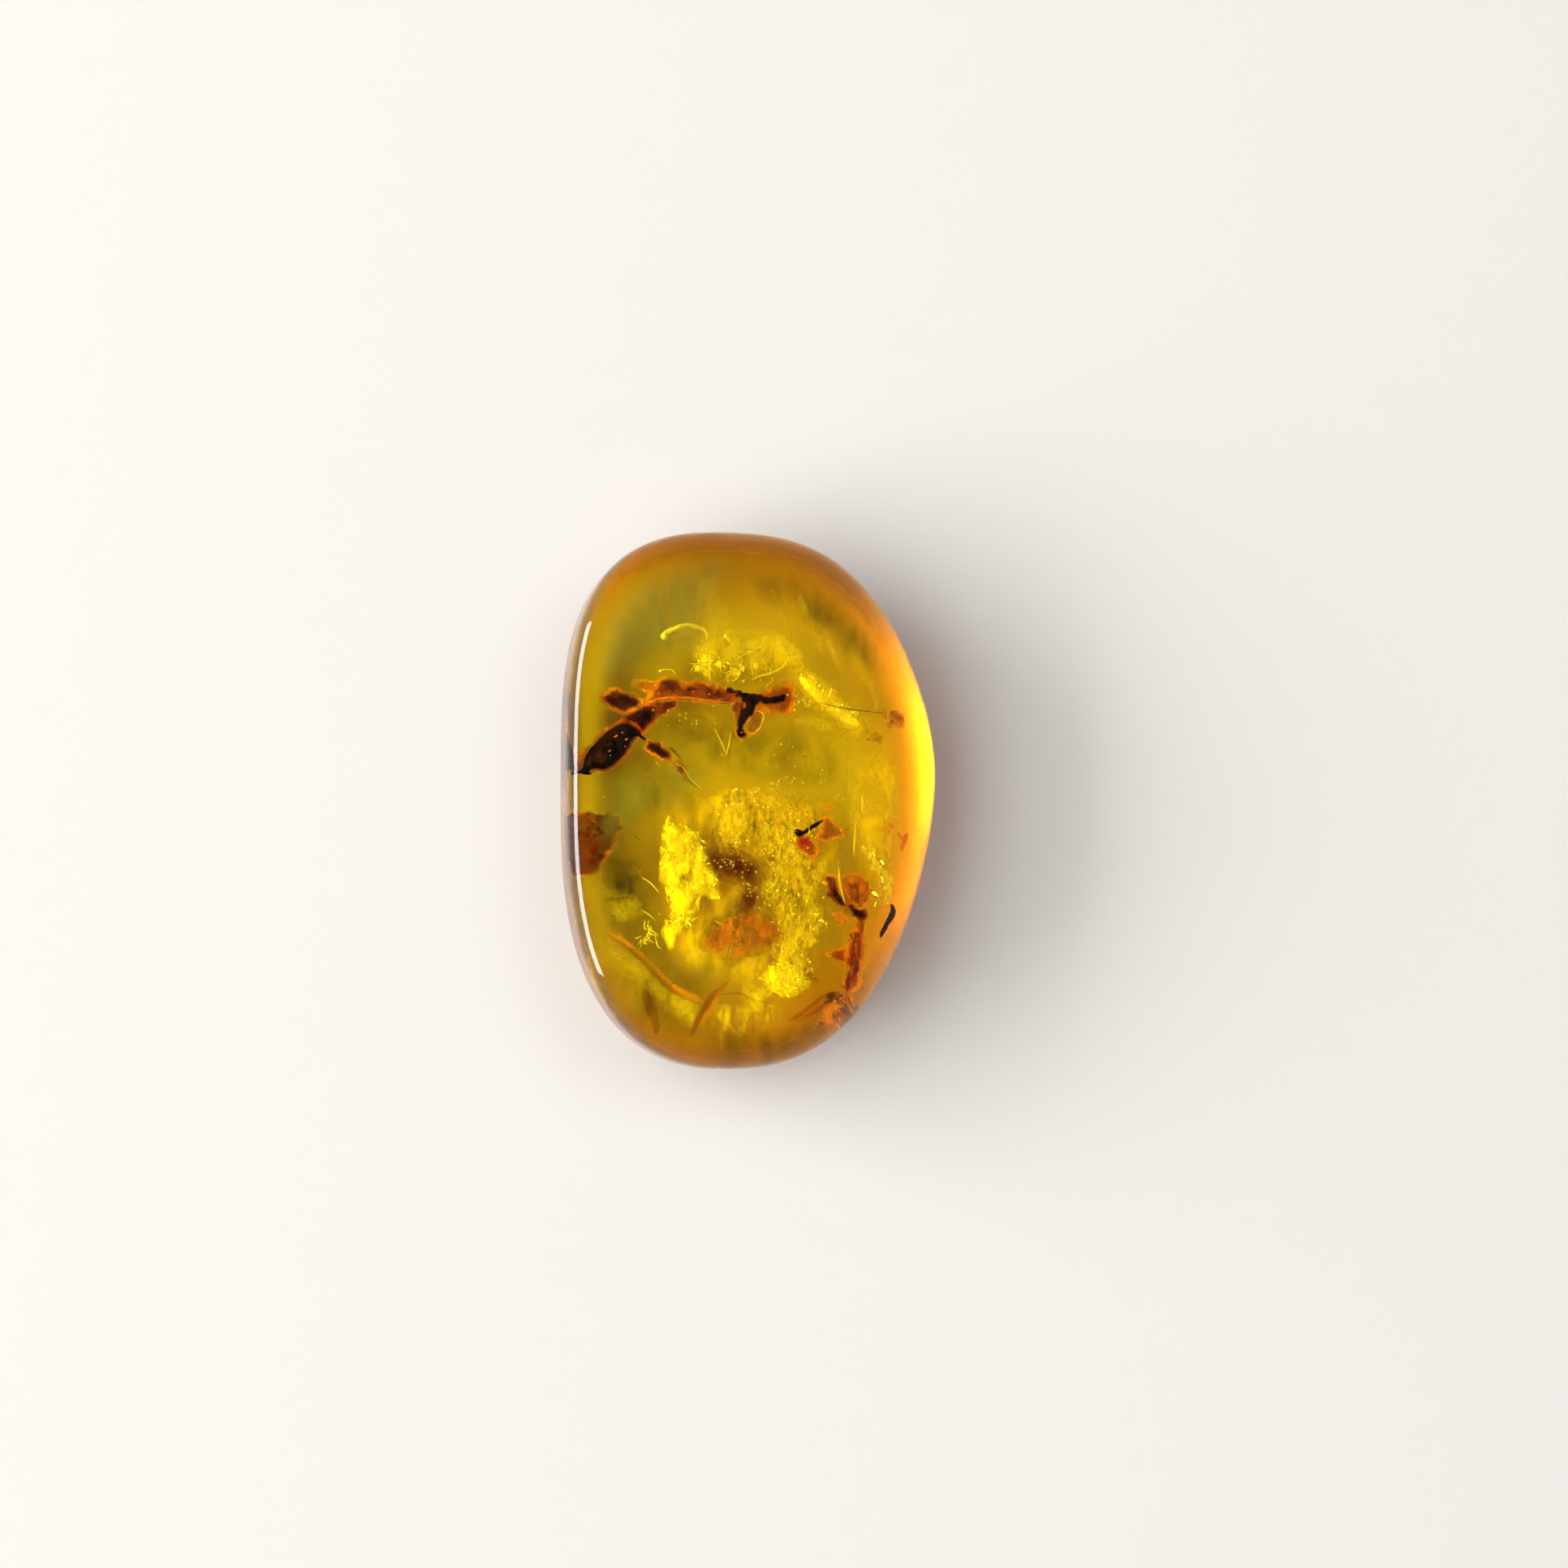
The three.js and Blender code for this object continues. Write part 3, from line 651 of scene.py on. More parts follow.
# The flow lines: ribbons of redder resin low in the stone, where one flow ran over another.
# They are clear, and orange dust lies along three of them.
flow_resin = soaked_material("flow_resin", "#F6BC00", 2000)
for axis, radii in (
    (((-7.9, -7.4), (-6.56, -8.4), (-5.13, -9.78), (-4.35, -10.5), (-2.9, -11.2)),
     (0.05, 0.12, 0.14, 0.16, 0.05)),
    (((-1.29, -9.86), (-1.8, -10.46), (-2.36, -11.01), (-2.8, -11.75), (-3.4, -12.8)),
     (0.05, 0.18, 0.24, 0.2, 0.12)),
    (((-6.0, -10.31), (-5.71, -10.94), (-5.34, -11.76), (-5.05, -12.55)), (0.08, 0.24, 0.22, 0.1)),
    (((-8.1, -5.6), (-7.4, -5.5), (-6.5, -5.42)), (0.05, 0.1, 0.04)),
    (((2.83, -9.15), (3.13, -9.58), (3.61, -9.94)), (0.06, 0.16, 0.08)),
    (((-1.8, -10.73), (-0.78, -10.62), (0.11, -10.98), (1.45, -11.23)), (0.04, 0.06, 0.06, 0.03)),
    (((1.86, -12.02), (2.73, -11.68), (3.39, -11.24), (4.05, -10.68), (4.7, -10.44)),
     (0.08, 0.22, 0.26, 0.2, 0.1)),
):
    rod([(*point, 4.3) for point in axis], radii, 14, 50, rough=0.25, lump=0.9)
crumbs((-7.2, -6.2, 4.6), (0.5, 0.3, 0.1), 16, 0.12)
crumbs((-7.6, -5.2, 4.6), (0.5, 0.6, 0.1), 10, 0.08)
make_piece("flow_lines", flow_resin, "amber")
veil(
    [
        (-7.9, -6.9), (-6.5, -7.9), (-5.1, -9.3), (-4.3, -10.0), (-2.8, -10.8), (-2.8, -11.4), (-4.3, -10.7),
        (-5.1, -10.0), (-6.5, -8.6), (-7.9, -7.6),
    ],
    4.4, 0.3, 0.1,
)
veil([(-1.2, -9.6), (-2.1, -10.6), (-3.2, -12.4), (-2.9, -12.5), (-2.1, -11.5)], 4.4, 0.2, 0.1)
veil([(1.9, -12.2), (2.8, -11.9), (4.2, -10.9), (4.7, -10.3), (3.6, -10.8)], 4.4, 0.25, 0.1)
# Dust along the skin of a flow: orange
flow_dust = veil_material("flow_dust", "#FFAC3C", 1.6, 0.2, 0.7)
make_piece("flow_edges", flow_dust, "amber")


# The crackle: sheets of stress cracks that flash gold where the air in them mirrors the light.
# They lie at mid height, sloping down to the left, in crumpled patches with holes.
crack_left = [
    (-4.82, -1.19), (-3.92, -1.33), (-3.0, -1.85), (-2.55, -2.82), (-2.09, -3.71), (-1.79, -4.46),
    (-1.6, -5.21), (-1.94, -5.66), (-2.85, -5.52), (-3.15, -6.41), (-3.75, -7.16), (-4.19, -8.2),
    (-4.64, -8.34), (-5.17, -7.16), (-4.58, -6.35), (-4.81, -5.23), (-5.27, -4.19), (-5.05, -2.99),
    (-5.05, -1.94),
]
crack_field = [
    (-2.6, 0.2), (-0.2, 0.9), (1.6, 0.3), (3.6, -0.4), (3.4, -2.2), (4.4, -3.4), (3.8, -5.2), (4.2, -7.0),
    (3.2, -8.4), (3.6, -9.6), (2.0, -10.6), (0.9, -8.4), (1.2, -6.6), (0.2, -5.1), (0.5, -3.3), (-1.6, -2.4),
]
crack_low = [
    (0.34, -9.84), (1.09, -8.88), (1.99, -8.72), (2.86, -9.07), (3.36, -9.85), (2.91, -10.64),
    (1.81, -10.82), (0.86, -10.34),
]
crack_rim = [
    (6.0, -2.3), (6.6, -2.6), (7.1, -3.0), (7.45, -3.65), (7.65, -4.31), (7.7, -5.1), (7.3, -5.7),
    (6.9, -5.9), (6.9, -4.8), (6.7, -4.0), (6.4, -3.4), (6.1, -3.0),
]
crack_top = [(-3.3, 7.3), (-2.9, 8.3), (-1.0, 8.3), (0.6, 7.9), (0.9, 6.8), (-0.6, 6.5), (-2.4, 6.6)]
crack_wedge = [
    (2.5, 7.0), (3.1, 7.0), (3.9, 6.4), (5.0, 5.7), (6.1, 4.4), (5.6, 3.9), (4.3, 4.7), (3.1, 5.9),
]


# A crack: a sloping sheet of bulges and shallow cells, torn into holes, covered in patches
def crumpled_sheet(outline, level, slope, cell, depth, bulge, holes, fade, patch):
    loop = rounded(outline)
    middle = sum(loop, Vector((0, 0))) / len(loop)
    cover = cover_layer()

    def torn_away(spot):
        return noise.fractal(spot / 0.6 + Vector((0, 0, level)), 1, 2, 3) < holes

    for vert in sheet(loop, 0.12, torn_away):
        spot = Vector((vert.co.x, vert.co.y, level))
        near, far = noise.voronoi(spot / cell)[0][:2]
        wave = noise.fractal(spot / (3 * cell), 1, 2, 2)
        border = min((nearest(spot.xy, loop) - spot.xy).length / fade, 1)
        vert[cover] = min(max(1.5 * border - 0.2 + noise.fractal(spot / patch, 1, 2, 3), 0), 1)
        vert.co.x += 0.03 * noise.noise(spot / 0.09)
        vert.co.y += 0.03 * noise.noise(spot / 0.09 + Vector((5, 9, 2)))
        vert.co.z = level + slope * (spot.x - middle.x) + depth * (far - near) + bulge * wave


# Air film in a crack: bright, half mirror, thinning out towards the crack's end
crack_film, tree, shader = new_material(
    "crack_film", {"Base Color": linear("#FFFBD8"), "Metallic": 0.1, "Roughness": 0.3, "IOR": 1.9}
)
cover = add_node(tree, "Attribute", attribute_name="cover")
tree.links.new(cover.outputs["Fac"], shader.inputs["Alpha"])
crumpled_sheet(crack_left, 3.6, 0.35, 1.2, 0.6, 0.5, -0.8, 0.6, 0.9)
crumpled_sheet(crack_field, 2.8, 0.3, 0.9, 0.4, 0.5, -0.2, 1.8, 1.0)
crumpled_sheet(crack_low, 3.2, 0.35, 1.2, 0.5, 0.4, -0.6, 0.7, 0.8)
crumpled_sheet(crack_rim, 3.9, 0.4, 0.9, 0.4, 0.3, -0.6, 0.5, 0.7)
crumpled_sheet(crack_top, 4.2, 0.35, 0.9, 0.4, 0.4, 0.1, 0.5, 0.6)
crumpled_sheet(crack_wedge, 4.2, 0.41, 1.8, 0.1, 0.15, -0.9, 0.35, 2.4)
bmesh.ops.triangulate(bm, faces=bm.faces)
make_piece("crackle", crack_film, "amber", smooth=False)


# The spangles: slivers of crack film and short bent cracks, strewn through the crackle.
# Most lean to the left, as the cracks do, so they flash in the light from there.
# In radians, about Y and about Z
CRACK_LEAN = -0.39
CRACK_HEADING = 1.57


# A random place inside an outline, in clusters
def spot_in(outline):
    loop = [Vector(corner) for corner in outline]
    while True:
        x = dice.uniform(min(p.x for p in loop), max(p.x for p in loop))
        y = dice.uniform(min(p.y for p in loop), max(p.y for p in loop))
        thin = noise.noise((x / 0.9, y / 0.9, 3.0)) < dice.uniform(-0.4, 0.3)
        if inside(Vector((x, y)), loop) and not thin:
            return x, y


lens = bmesh.new()
bmesh.ops.create_uvsphere(lens, u_segments=6, v_segments=4, radius=0.5)


# A bent sliver
def spangle(spot, size, scatter=0.4):
    lean = Euler((dice.gauss(0, scatter), dice.gauss(CRACK_LEAN, scatter), 0)).to_matrix().to_4x4()
    place = Matrix.Translation(spot) @ lean @ Matrix.Rotation(dice.gauss(CRACK_HEADING, 0.7), 4, "Z")
    bend, slim = dice.uniform(-0.4, 0.5), dice.uniform(0.12, 0.5)
    for vert in stamp(lens):
        x, y, z = vert.co
        ragged = 0.08 * Vector((dice.uniform(-1, 1), slim * dice.uniform(-1, 1), 0))
        vert.co = place @ (size * (Vector((x, slim * y, bend * x * x + 0.06 * z)) + ragged))


# A short crack that wanders
def squiggle(spot, length, radius):
    heading = dice.uniform(0, 6.28)
    axis = [Vector(spot)]
    for _ in range(3):
        heading += dice.uniform(-1.2, 1.2)
        step = Vector((math.cos(heading), math.sin(heading), dice.uniform(-0.4, 0.4)))
        axis.append(axis[-1] + length / 3 * step)
    rod(axis, [0.5 * radius, radius, radius, 0.4 * radius], 5, 9, rough=0)


for outline, count, low, high, small, large in (
    (crack_left, 130, 3.6, 4.6, 0.12, 0.7), (crack_field, 330, 3.0, 4.2, 0.06, 0.4),
    (crack_low, 90, 3.4, 4.4, 0.1, 0.6), (crack_rim, 70, 4.0, 4.8, 0.1, 0.8),
    (crack_top, 40, 4.3, 5.2, 0.06, 0.4), (crack_wedge, 40, 4.2, 5.0, 0.06, 0.5),
):
    for _ in range(count):
        size = small + (large - small) * dice.random() ** 2
        spangle((*spot_in(outline), dice.uniform(low, high)), size)
# Air in a loose spangle: a bright half mirror
spangle_film = plain_material("spangle_film", "#FFFDE0", 0.25, ior=1.9, metallic=0.12)
make_piece("spangles", spangle_film, "amber", smooth=False)
for x, y, size in (
    (-4.82, -3.16, 0.6), (-4.53, -4.17, 0.5), (-4.59, -4.89, 0.6), (-3.29, -4.38, 0.6), (-4.19, -6.62, 0.5),
    (-2.84, -2.35, 0.5), (-3.8, -1.58, 0.4), (-1.46, 7.56, 0.3), (-2.92, 8.26, 0.25), (-2.46, 7.27, 0.35),
    (-3.1, 7.63, 0.35), (-0.82, 7.48, 0.3), (-1.73, 7.38, 0.3), (-1.65, 9.08, 0.3), (-1.19, 8.69, 0.25),
    (6.57, -2.92, 0.6), (7.0, -3.35, 0.7), (7.04, -4.35, 0.6), (6.65, -5.14, 0.6), (6.64, -5.7, 0.5),
    (4.2, 6.0, 0.7), (3.6, 6.4, 0.5), (4.8, 5.3, 0.5), (2.0, -9.4, 0.5), (2.4, -9.9, 0.4), (1.3, -9.6, 0.4),
):
    spangle((x, y, 5.3), size, 0.05)
for outline, count in (
    (crack_field, 150), (crack_left, 60), (crack_low, 24), (crack_wedge, 16), (crack_rim, 16),
):
    for _ in range(count):
        spangle((*spot_in(outline), 5.2), dice.uniform(0.06, 0.26), 0.1)
# Air in an open crack: a full mirror
mirror_film = plain_material("mirror_film", "#FFFFF0", 0.25, metallic=1.0)
make_piece("bright_spangles", mirror_film, "amber")

for outline, count in ((crack_left, 20), (crack_field, 30), (crack_low, 8), (crack_top, 10)):
    for _ in range(count):
        place = (*spot_in(outline), dice.uniform(3.4, 4.4))
        squiggle(place, dice.uniform(0.2, 0.6), dice.uniform(0.02, 0.04))
# Air in a bent crack: pale gold
gold_film = plain_material("gold_film", "#FFFAC8", 0.3, ior=1.8)
make_piece("squiggles", gold_film, "amber")


# The threads: gold fibres and rootlets above the stem and at the lower left, and a few dark hairs.
# A film of air makes the gold ones shine. The hairs are charred, and one runs long to the right rim.
for axis, radii in (
    (((-5.05, 8.8), (-4.87, 9.16), (-4.46, 9.39), (-3.92, 9.58), (-3.28, 9.59), (-2.65, 9.34), (-2.6, 8.8)),
     (0.3, 0.2, 0.16, 0.18, 0.15, 0.12, 0.05)),
    (((-5.28, 7.05), (-5.0, 7.19), (-4.55, 7.15), (-4.37, 6.93)), (0.1, 0.03, 0.03, 0.02)),
    (((-1.0, 7.84), (-0.19, 8.21), (0.63, 8.58)), (0.05, 0.08, 0.06)),
    (((0.09, 6.86), (0.91, 7.05), (1.63, 7.42), (2.07, 7.97)), (0.03, 0.07, 0.06, 0.04)),
    (((-2.28, 8.72), (-2.37, 8.09), (-2.46, 7.27), (-2.41, 6.55)), (0.03, 0.07, 0.08, 0.03)),
    (((-0.78, 7.66), (-0.73, 7.12), (-0.91, 6.76), (-1.18, 6.57)), (0.03, 0.06, 0.05, 0.03)),
    (((-1.65, 9.08), (-1.19, 8.69), (-0.9, 8.2)), (0.1, 0.07, 0.03)),
    (((-2.17, 3.94), (-1.81, 3.22), (-1.53, 2.6)), (0.02, 0.04, 0.02)),
    (((-1.26, 3.77), (-1.35, 3.14), (-1.53, 2.41)), (0.02, 0.04, 0.02)),
    (((-6.2, -4.35), (-5.75, -4.63), (-5.24, -5.19)), (0.02, 0.03, 0.02)),
    (((-6.35, -6.08), (-5.91, -6.3), (-5.46, -6.69)), (0.02, 0.03, 0.02)),
    (((-4.11, -7.13), (-3.55, -6.8), (-3.04, -6.46)), (0.02, 0.035, 0.02)),
    (((-2.14, -6.73), (-1.63, -6.95), (-1.06, -7.11)), (0.02, 0.03, 0.02)),
    (((-1.16, -7.28), (-1.22, -8.06), (-1.39, -8.72)), (0.02, 0.03, 0.02)),
    (((6.0, 0.34), (6.03, -0.2), (6.04, -0.68)), (0.03, 0.07, 0.04)),
    (((5.65, -1.14), (5.6, -2.0), (5.53, -3.05)), (0.03, 0.06, 0.03)),
    (((0.15, 5.0), (0.56, 4.79), (0.5, 4.3), (0.3, 3.95), (-0.1, 3.65), (-0.4, 3.88)),
     (0.02, 0.04, 0.03, 0.04, 0.03, 0.02)),
    (((-4.4, 2.0), (-3.9, 1.7), (-3.5, 1.1), (-2.9, 0.55)), (0.02, 0.03, 0.03, 0.02)),
):
    rod([(*point, 4.7) for point in axis], radii, 7, 40, lump=0.2)
for x, y, spread, count in (
    (-5.9, -7.4, 0.3, 14), (-2.5, 7.6, 0.4, 18), (-1.1, 7.6, 0.5, 18), (0.5, 7.3, 0.4, 8),
):
    for _ in range(count):
        place = (dice.gauss(x, spread), dice.gauss(y, spread), dice.uniform(4.5, 5.0))
        squiggle(place, dice.uniform(0.4, 1.1), dice.uniform(0.02, 0.035))
make_piece("gold_threads", gold_film, "amber")
for start, end in (
    ((-0.2, -1.38), (0.42, -1.6)), ((0.59, -1.15), (1.1, -1.43)), ((-6.71, -2.01), (-6.32, -2.34)),
    ((-1.51, -2.41), (-0.94, -2.91)), ((1.8, -1.55), (2.2, -1.65)), ((5.0, -1.75), (5.3, -1.5)),
    ((5.0, -1.8), (5.25, -2.0)), ((-6.0, 1.5), (-5.8, 1.8)),
):
    rod([(*start, 4.9), (*end, 4.9)], [0.02, 0.015], 6, 8)
rod([(3.6, 5.5, 4.8), (5.2, 5.15, 4.8), (7.4, 4.9, 4.8)], [0.02, 0.025, 0.02], 6, 40)
make_piece("dark_hairs", charcoal, "charred_wood")


# The bubbles: round droplets of air, in clusters on the stain, by the tip of the twig and in the crackle.
# They rose while the resin was soft, so they lie above the plants.
BUBBLE_REACH = 8.5
SMALLEST_BUBBLE = 0.02
for x, y, wide, tall, count, large in (
    (1.0, -2.0, 3.0, 4.0, 160, 0.05), (2.1, 8.0, 0.25, 0.2, 26, 0.07), (2.7, 5.5, 0.35, 0.35, 30, 0.08),
    (-1.2, -3.5, 0.6, 0.25, 50, 0.06), (-0.2, -5.0, 0.3, 0.5, 34, 0.06), (-2.6, 4.4, 1.2, 0.4, 16, 0.05),
    (1.4, 0.6, 0.7, 0.6, 60, 0.06), (-4.0, 3.0, 2.6, 3.4, 60, 0.04), (3.4, 2.6, 1.2, 1.4, 50, 0.05),
):
    for _ in range(count):
        spot = (dice.gauss(x, wide), dice.gauss(y, tall), dice.uniform(4.9, 6.2))
        if Vector(spot[:2]).length < BUBBLE_REACH:
            size = SMALLEST_BUBBLE + large * dice.random() ** 2
            for vert in stamp(lens):
                vert.co = Vector(spot) + 2 * size * vert.co
# Air in a bubble: smooth, and bright as a half mirror
bubble_film = plain_material("bubble_film", "#FFFBE0", 0.15, metallic=0.3)
make_piece("bubbles", bubble_film, "amber")


# The veils: clouds of dust and of bubbles too fine to see, wavy and thin towards their edges. They are milky
# at the upper left and golden in the middle. The milky one also paints a pale reflection, and the olive ones
# in the low resin are painted shade.
# A milky cloud in the resin just under the face, which also paints the room's pale reflection on the upper
# left and left
milky_cloud_and_reflection = veil_material("milky_cloud_and_reflection", "#8E9A74", 3.0, 0.2, 0.6)
veil(
    [(-9.0, 6.0), (-8.6, 10.4), (-5.6, 12.8), (-1.6, 13.4), (-2.2, 9.4), (-3.6, 7.4), (-6.0, 7.0)],
    7.0, 2.0, 0.2,
)
veil([(-9.0, -3.0), (-8.4, 1.2), (-5.0, 2.6), (-2.0, 1.8), (-3.0, 0.0), (-5.6, -1.4)], 6.4, 1.6)
make_piece("milky_veil_and_reflection", milky_cloud_and_reflection, "amber")
pale_cloud = veil_material("pale_cloud", "#F4E9A0", 1.6, 0.0, 0.6)
veil([(-3.4, 12.0), (-1.6, 12.0), (-1.8, 8.7), (-1.9, 6.4), (-3.0, 6.4), (-3.1, 8.68)], 5.2, 0.7)
veil([(-2.1, 10.6), (-1.4, 10.6), (-0.6, 7.8), (-1.3, 7.6)], 5.3, 0.3)
veil([(-0.9, 8.9), (1.6, 9.2), (1.7, 8.5), (-0.7, 8.1)], 5.3, 0.3)
for x, y in ((3.2, 9.6), (4.2, 8.6), (5.4, 8.2), (1.6, 9.8), (6.2, 6.8)):
    veil([(x - 0.9, y + 1.6), (x - 0.4, y + 1.8), (x + 0.9, y - 1.5), (x + 0.5, y - 1.7)], 5.0, 0.3, 0.2)
veil([(0.7, 4.9), (2.1, 4.8), (3.7, 5.0), (5.0, 4.0), (3.7, 3.6), (1.9, 4.2)], 4.8, 0.5)
make_piece("pale_veil", pale_cloud, "amber")
golden_cloud = veil_material("golden_cloud", "#FFF4A8", 1.2, 0.1, 1.0)
veil(
    [
        (-5.6, 0.2), (-1.0, 1.4), (4.0, 1.0), (5.6, -2.0), (5.0, -7.0), (3.0, -11.0), (0.0, -10.6),
        (-5.0, -8.6),
    ],
    2.8, 2.0,
)
veil(
    [
        (-8.4, -6.9), (-7.4, -7.4), (-5.9, -8.7), (-4.3, -10.2), (-2.6, -11.0), (-3.2, -12.6), (-5.0, -11.6),
        (-6.5, -10.2), (-7.8, -9.0),
    ],
    3.9, 0.9,
)
veil([(-8.4, -4.8), (-6.6, -5.0), (-5.8, -6.2), (-6.8, -7.0), (-8.2, -6.6)], 4.2, 0.9)
veil([(1.4, 7.4), (4.8, 6.8), (7.0, 4.6), (8.0, 1.0), (6.4, 0.6), (5.0, 3.6), (3.0, 5.0)], 3.6, 1.4)
veil([(2.3, 7.6), (3.6, 7.3), (5.4, 5.5), (6.3, 3.8), (5.2, 3.8), (3.6, 5.4)], 4.4, 0.6)
veil([(-3.4, 9.0), (0.0, 9.8), (2.6, 9.0), (3.4, 7.0), (0.0, 6.6), (-3.0, 7.2)], 3.8, 1.0)
veil([(5.2, 2.0), (7.8, 2.6), (8.6, -1.0), (7.9, -4.8), (6.4, -5.8), (5.4, -3.0)], 3.8, 1.2)
make_piece("golden_veil", golden_cloud, "amber")
golden_grain = veil_material("golden_grain", "#FFFABC", 0.7, -0.3, 1.3)
veil(crack_field, 3.4, 0.9, 0.8)
veil(crack_low, 3.8, 0.6, 0.4)
veil(crack_wedge, 3.8, 0.6, 0.4)
veil(crack_left, 4.4, 0.7, 0.4)
veil(crack_rim, 3.7, 0.5, 0.2)
veil([(-0.8, -10.0), (1.2, -10.0), (1.9, -11.4), (1.2, -13.0), (0.0, -12.2)], 3.6, 1.0, 0.3)
veil([(-2.4, -11.2), (-0.2, -11.0), (0.2, -12.4), (-0.9, -13.6), (-2.2, -13.0)], 3.6, 1.0, 0.3)
make_piece("golden_grain_veil", golden_grain, "amber")
golden_dust = veil_material("golden_dust", "#FFFCC8", 0.3, -0.4, 1.4)
veil(crack_field, 4.2, 0.8, 0.4)
veil(crack_low, 4.3, 0.5, 0.2)
make_piece("golden_dust_veil", golden_dust, "amber")
# Painted shade: dark olive sheets laid in the low resin and at the upper right where the stone looks
# shadowed
painted_shade_cloud = veil_material("painted_shade_cloud", "#3C3A0A", 2.2, 0.05, 0.7)
veil([(-6.4, 1.0), (-4.2, 1.2), (-2.8, 0.2), (-3.4, -1.2), (-5.6, -1.4)], 3.4, 1.0)
veil([(-9.0, -3.0), (-6.6, -2.6), (-5.2, -4.4), (-5.4, -7.0), (-5.8, -9.2), (-8.4, -7.6)], 4.0, 1.2)
veil([(-8.6, -3.8), (-6.8, -3.6), (-5.7, -5.0), (-5.8, -6.8), (-7.4, -6.6)], 4.8, 1.0)
veil([(-8.4, -8.6), (-5.6, -8.8), (-3.0, -9.2), (-2.0, -12.6), (-4.6, -13.4), (-7.0, -11.4)], 3.6, 1.3)
veil([(-5.2, 5.2), (-3.0, 5.2), (-2.0, 4.6), (-1.8, 3.4), (-3.3, 2.9), (-4.8, 3.8)], 3.8, 0.8)
veil([(1.8, 12.8), (4.6, 11.2), (7.0, 8.6), (6.4, 7.0), (4.4, 8.6), (2.2, 10.0)], 4.4, 1.2)
veil([(-0.6, 12.6), (3.2, 12.4), (6.0, 10.0), (7.6, 7.0), (5.6, 6.6), (3.0, 9.4), (0.4, 10.4)], 5.4, 1.4)
veil([(-3.6, -12.2), (1.2, -12.2), (3.6, -11.0), (4.2, -12.0), (2.6, -13.8), (-1.0, -14.6)], 3.8, 0.9)
veil([(-2.4, 4.4), (2.2, 4.4), (4.4, 3.6), (5.2, 1.6), (3.6, 0.4), (0.4, 0.9), (-2.6, 2.0)], 3.8, 1.2)
make_piece("painted_shade_veil", painted_shade_cloud, "amber")
# Painted shade: fine dark olive grain laid between the bright crackle as its shadows
painted_shade_grain = veil_material("painted_shade_grain", "#4A4208", 0.8, -0.5, 0.7)
veil(crack_field, 4.4, 2.0, 0.2)
veil(crack_left, 4.7, 0.6, 0.2)
veil([(-8.6, -4.0), (-7.0, -3.8), (-5.9, -5.0), (-6.0, -6.6), (-7.4, -6.4)], 4.9, 0.7)
veil([(-6.6, -9.4), (-5.4, -9.7), (-4.9, -10.8), (-5.6, -11.6), (-6.6, -10.6)], 4.6, 0.6)
make_piece("painted_shade_grain_veil", painted_shade_grain, "amber")
bark_dust = veil_material("bark_dust", "#7A3E08", 0.7, -0.1, 0.8)
veil(
    [
        (-2.8, -2.9), (-1.69, -2.7), (-0.4, -2.9), (0.4, -3.8), (0.5, -5.65), (-0.1, -6.6), (-0.9, -6.2),
        (-0.9, -4.8), (-1.5, -4.4), (-2.3, -4.0),
    ],
    4.75, 0.6,
)
make_piece("bark_dust_veil", bark_dust, "brown_wood")
rust_dust = veil_material("rust_dust", "#FFA42C", 0.6, -0.1, 1.0)
veil([(-3.0, -8.0), (-1.9, -6.6), (-0.3, -6.0), (1.6, -7.2), (0.3, -8.4), (-1.2, -9.2)], 5.0, 0.5)
make_piece("rust_dust_veil", rust_dust, "orange_leaf")


# The amber: one tumbled and polished lump of clear fossil resin, flat underneath.
# It closes around everything above. Only its lower side, up to the rim, was left matt.
REACH_TOP = 13.35
REACH_BOTTOM = 16.5
REACH_LEFT = 8.95
REACH_RIGHT = 12.1
FULL_TOP = (3.2, 1.9)
FULL_BOTTOM = (2.9, 1.85)
THICKNESS = 8.0
GIRDLE = 4.6
FOOT_SHARE = 0.62
FOOT_LATITUDE = math.radians(60)
FULL_LOWER_SIDE = 2.3
FULL_DOME = (8.0, 2.6)
# Latitudes in degrees, from where a band begins to where it is full
MATT_UPPER_EDGE = (-2, -10)
MATT_LOWER_EDGE = (-72, -56)
# The crust band: an orange tint on the lower side, partly a weathered crust, partly painted rim glow
CRUST_AND_GLOW_UPPER_EDGE = (6, -6)
CRUST_AND_GLOW_LOWER_EDGE = (-58, -18)
# The tint is the share of red, green and blue light that the resin lets pass
RESIN_IOR = 1.54
RESIN_TINT = (0.982, 0.943, 0.0, 1.0)
RESIN_DENSITY = 700


def lerp(a, b, share):
    return a + (b - a) * share


# How far a value has come on its way from a start to an end
def ramp(value, start, end):
    return min(max((value - start) / (end - start), 0), 1)


# How far the outline stands from the stone's middle
def outline_reach(angle):
    across, ahead = math.cos(angle), math.sin(angle)
    right_share, top_share = (1 + across) / 2, (1 + ahead) / 2
    full = lerp(lerp(*FULL_BOTTOM, right_share), lerp(*FULL_TOP, right_share), top_share)
    reach_x = REACH_RIGHT if across >= 0 else REACH_LEFT
    reach_y = REACH_TOP if ahead >= 0 else REACH_BOTTOM
    return (abs(across / reach_x) ** full + abs(ahead / reach_y) ** full) ** (-1 / full)


# A point on a quarter of a full oval
def quarter_point(full, latitude):
    out, up = abs(math.cos(latitude)), abs(math.sin(latitude))
    radius = (out ** full + up ** full) ** (-1 / full)
    return radius * out, radius * up


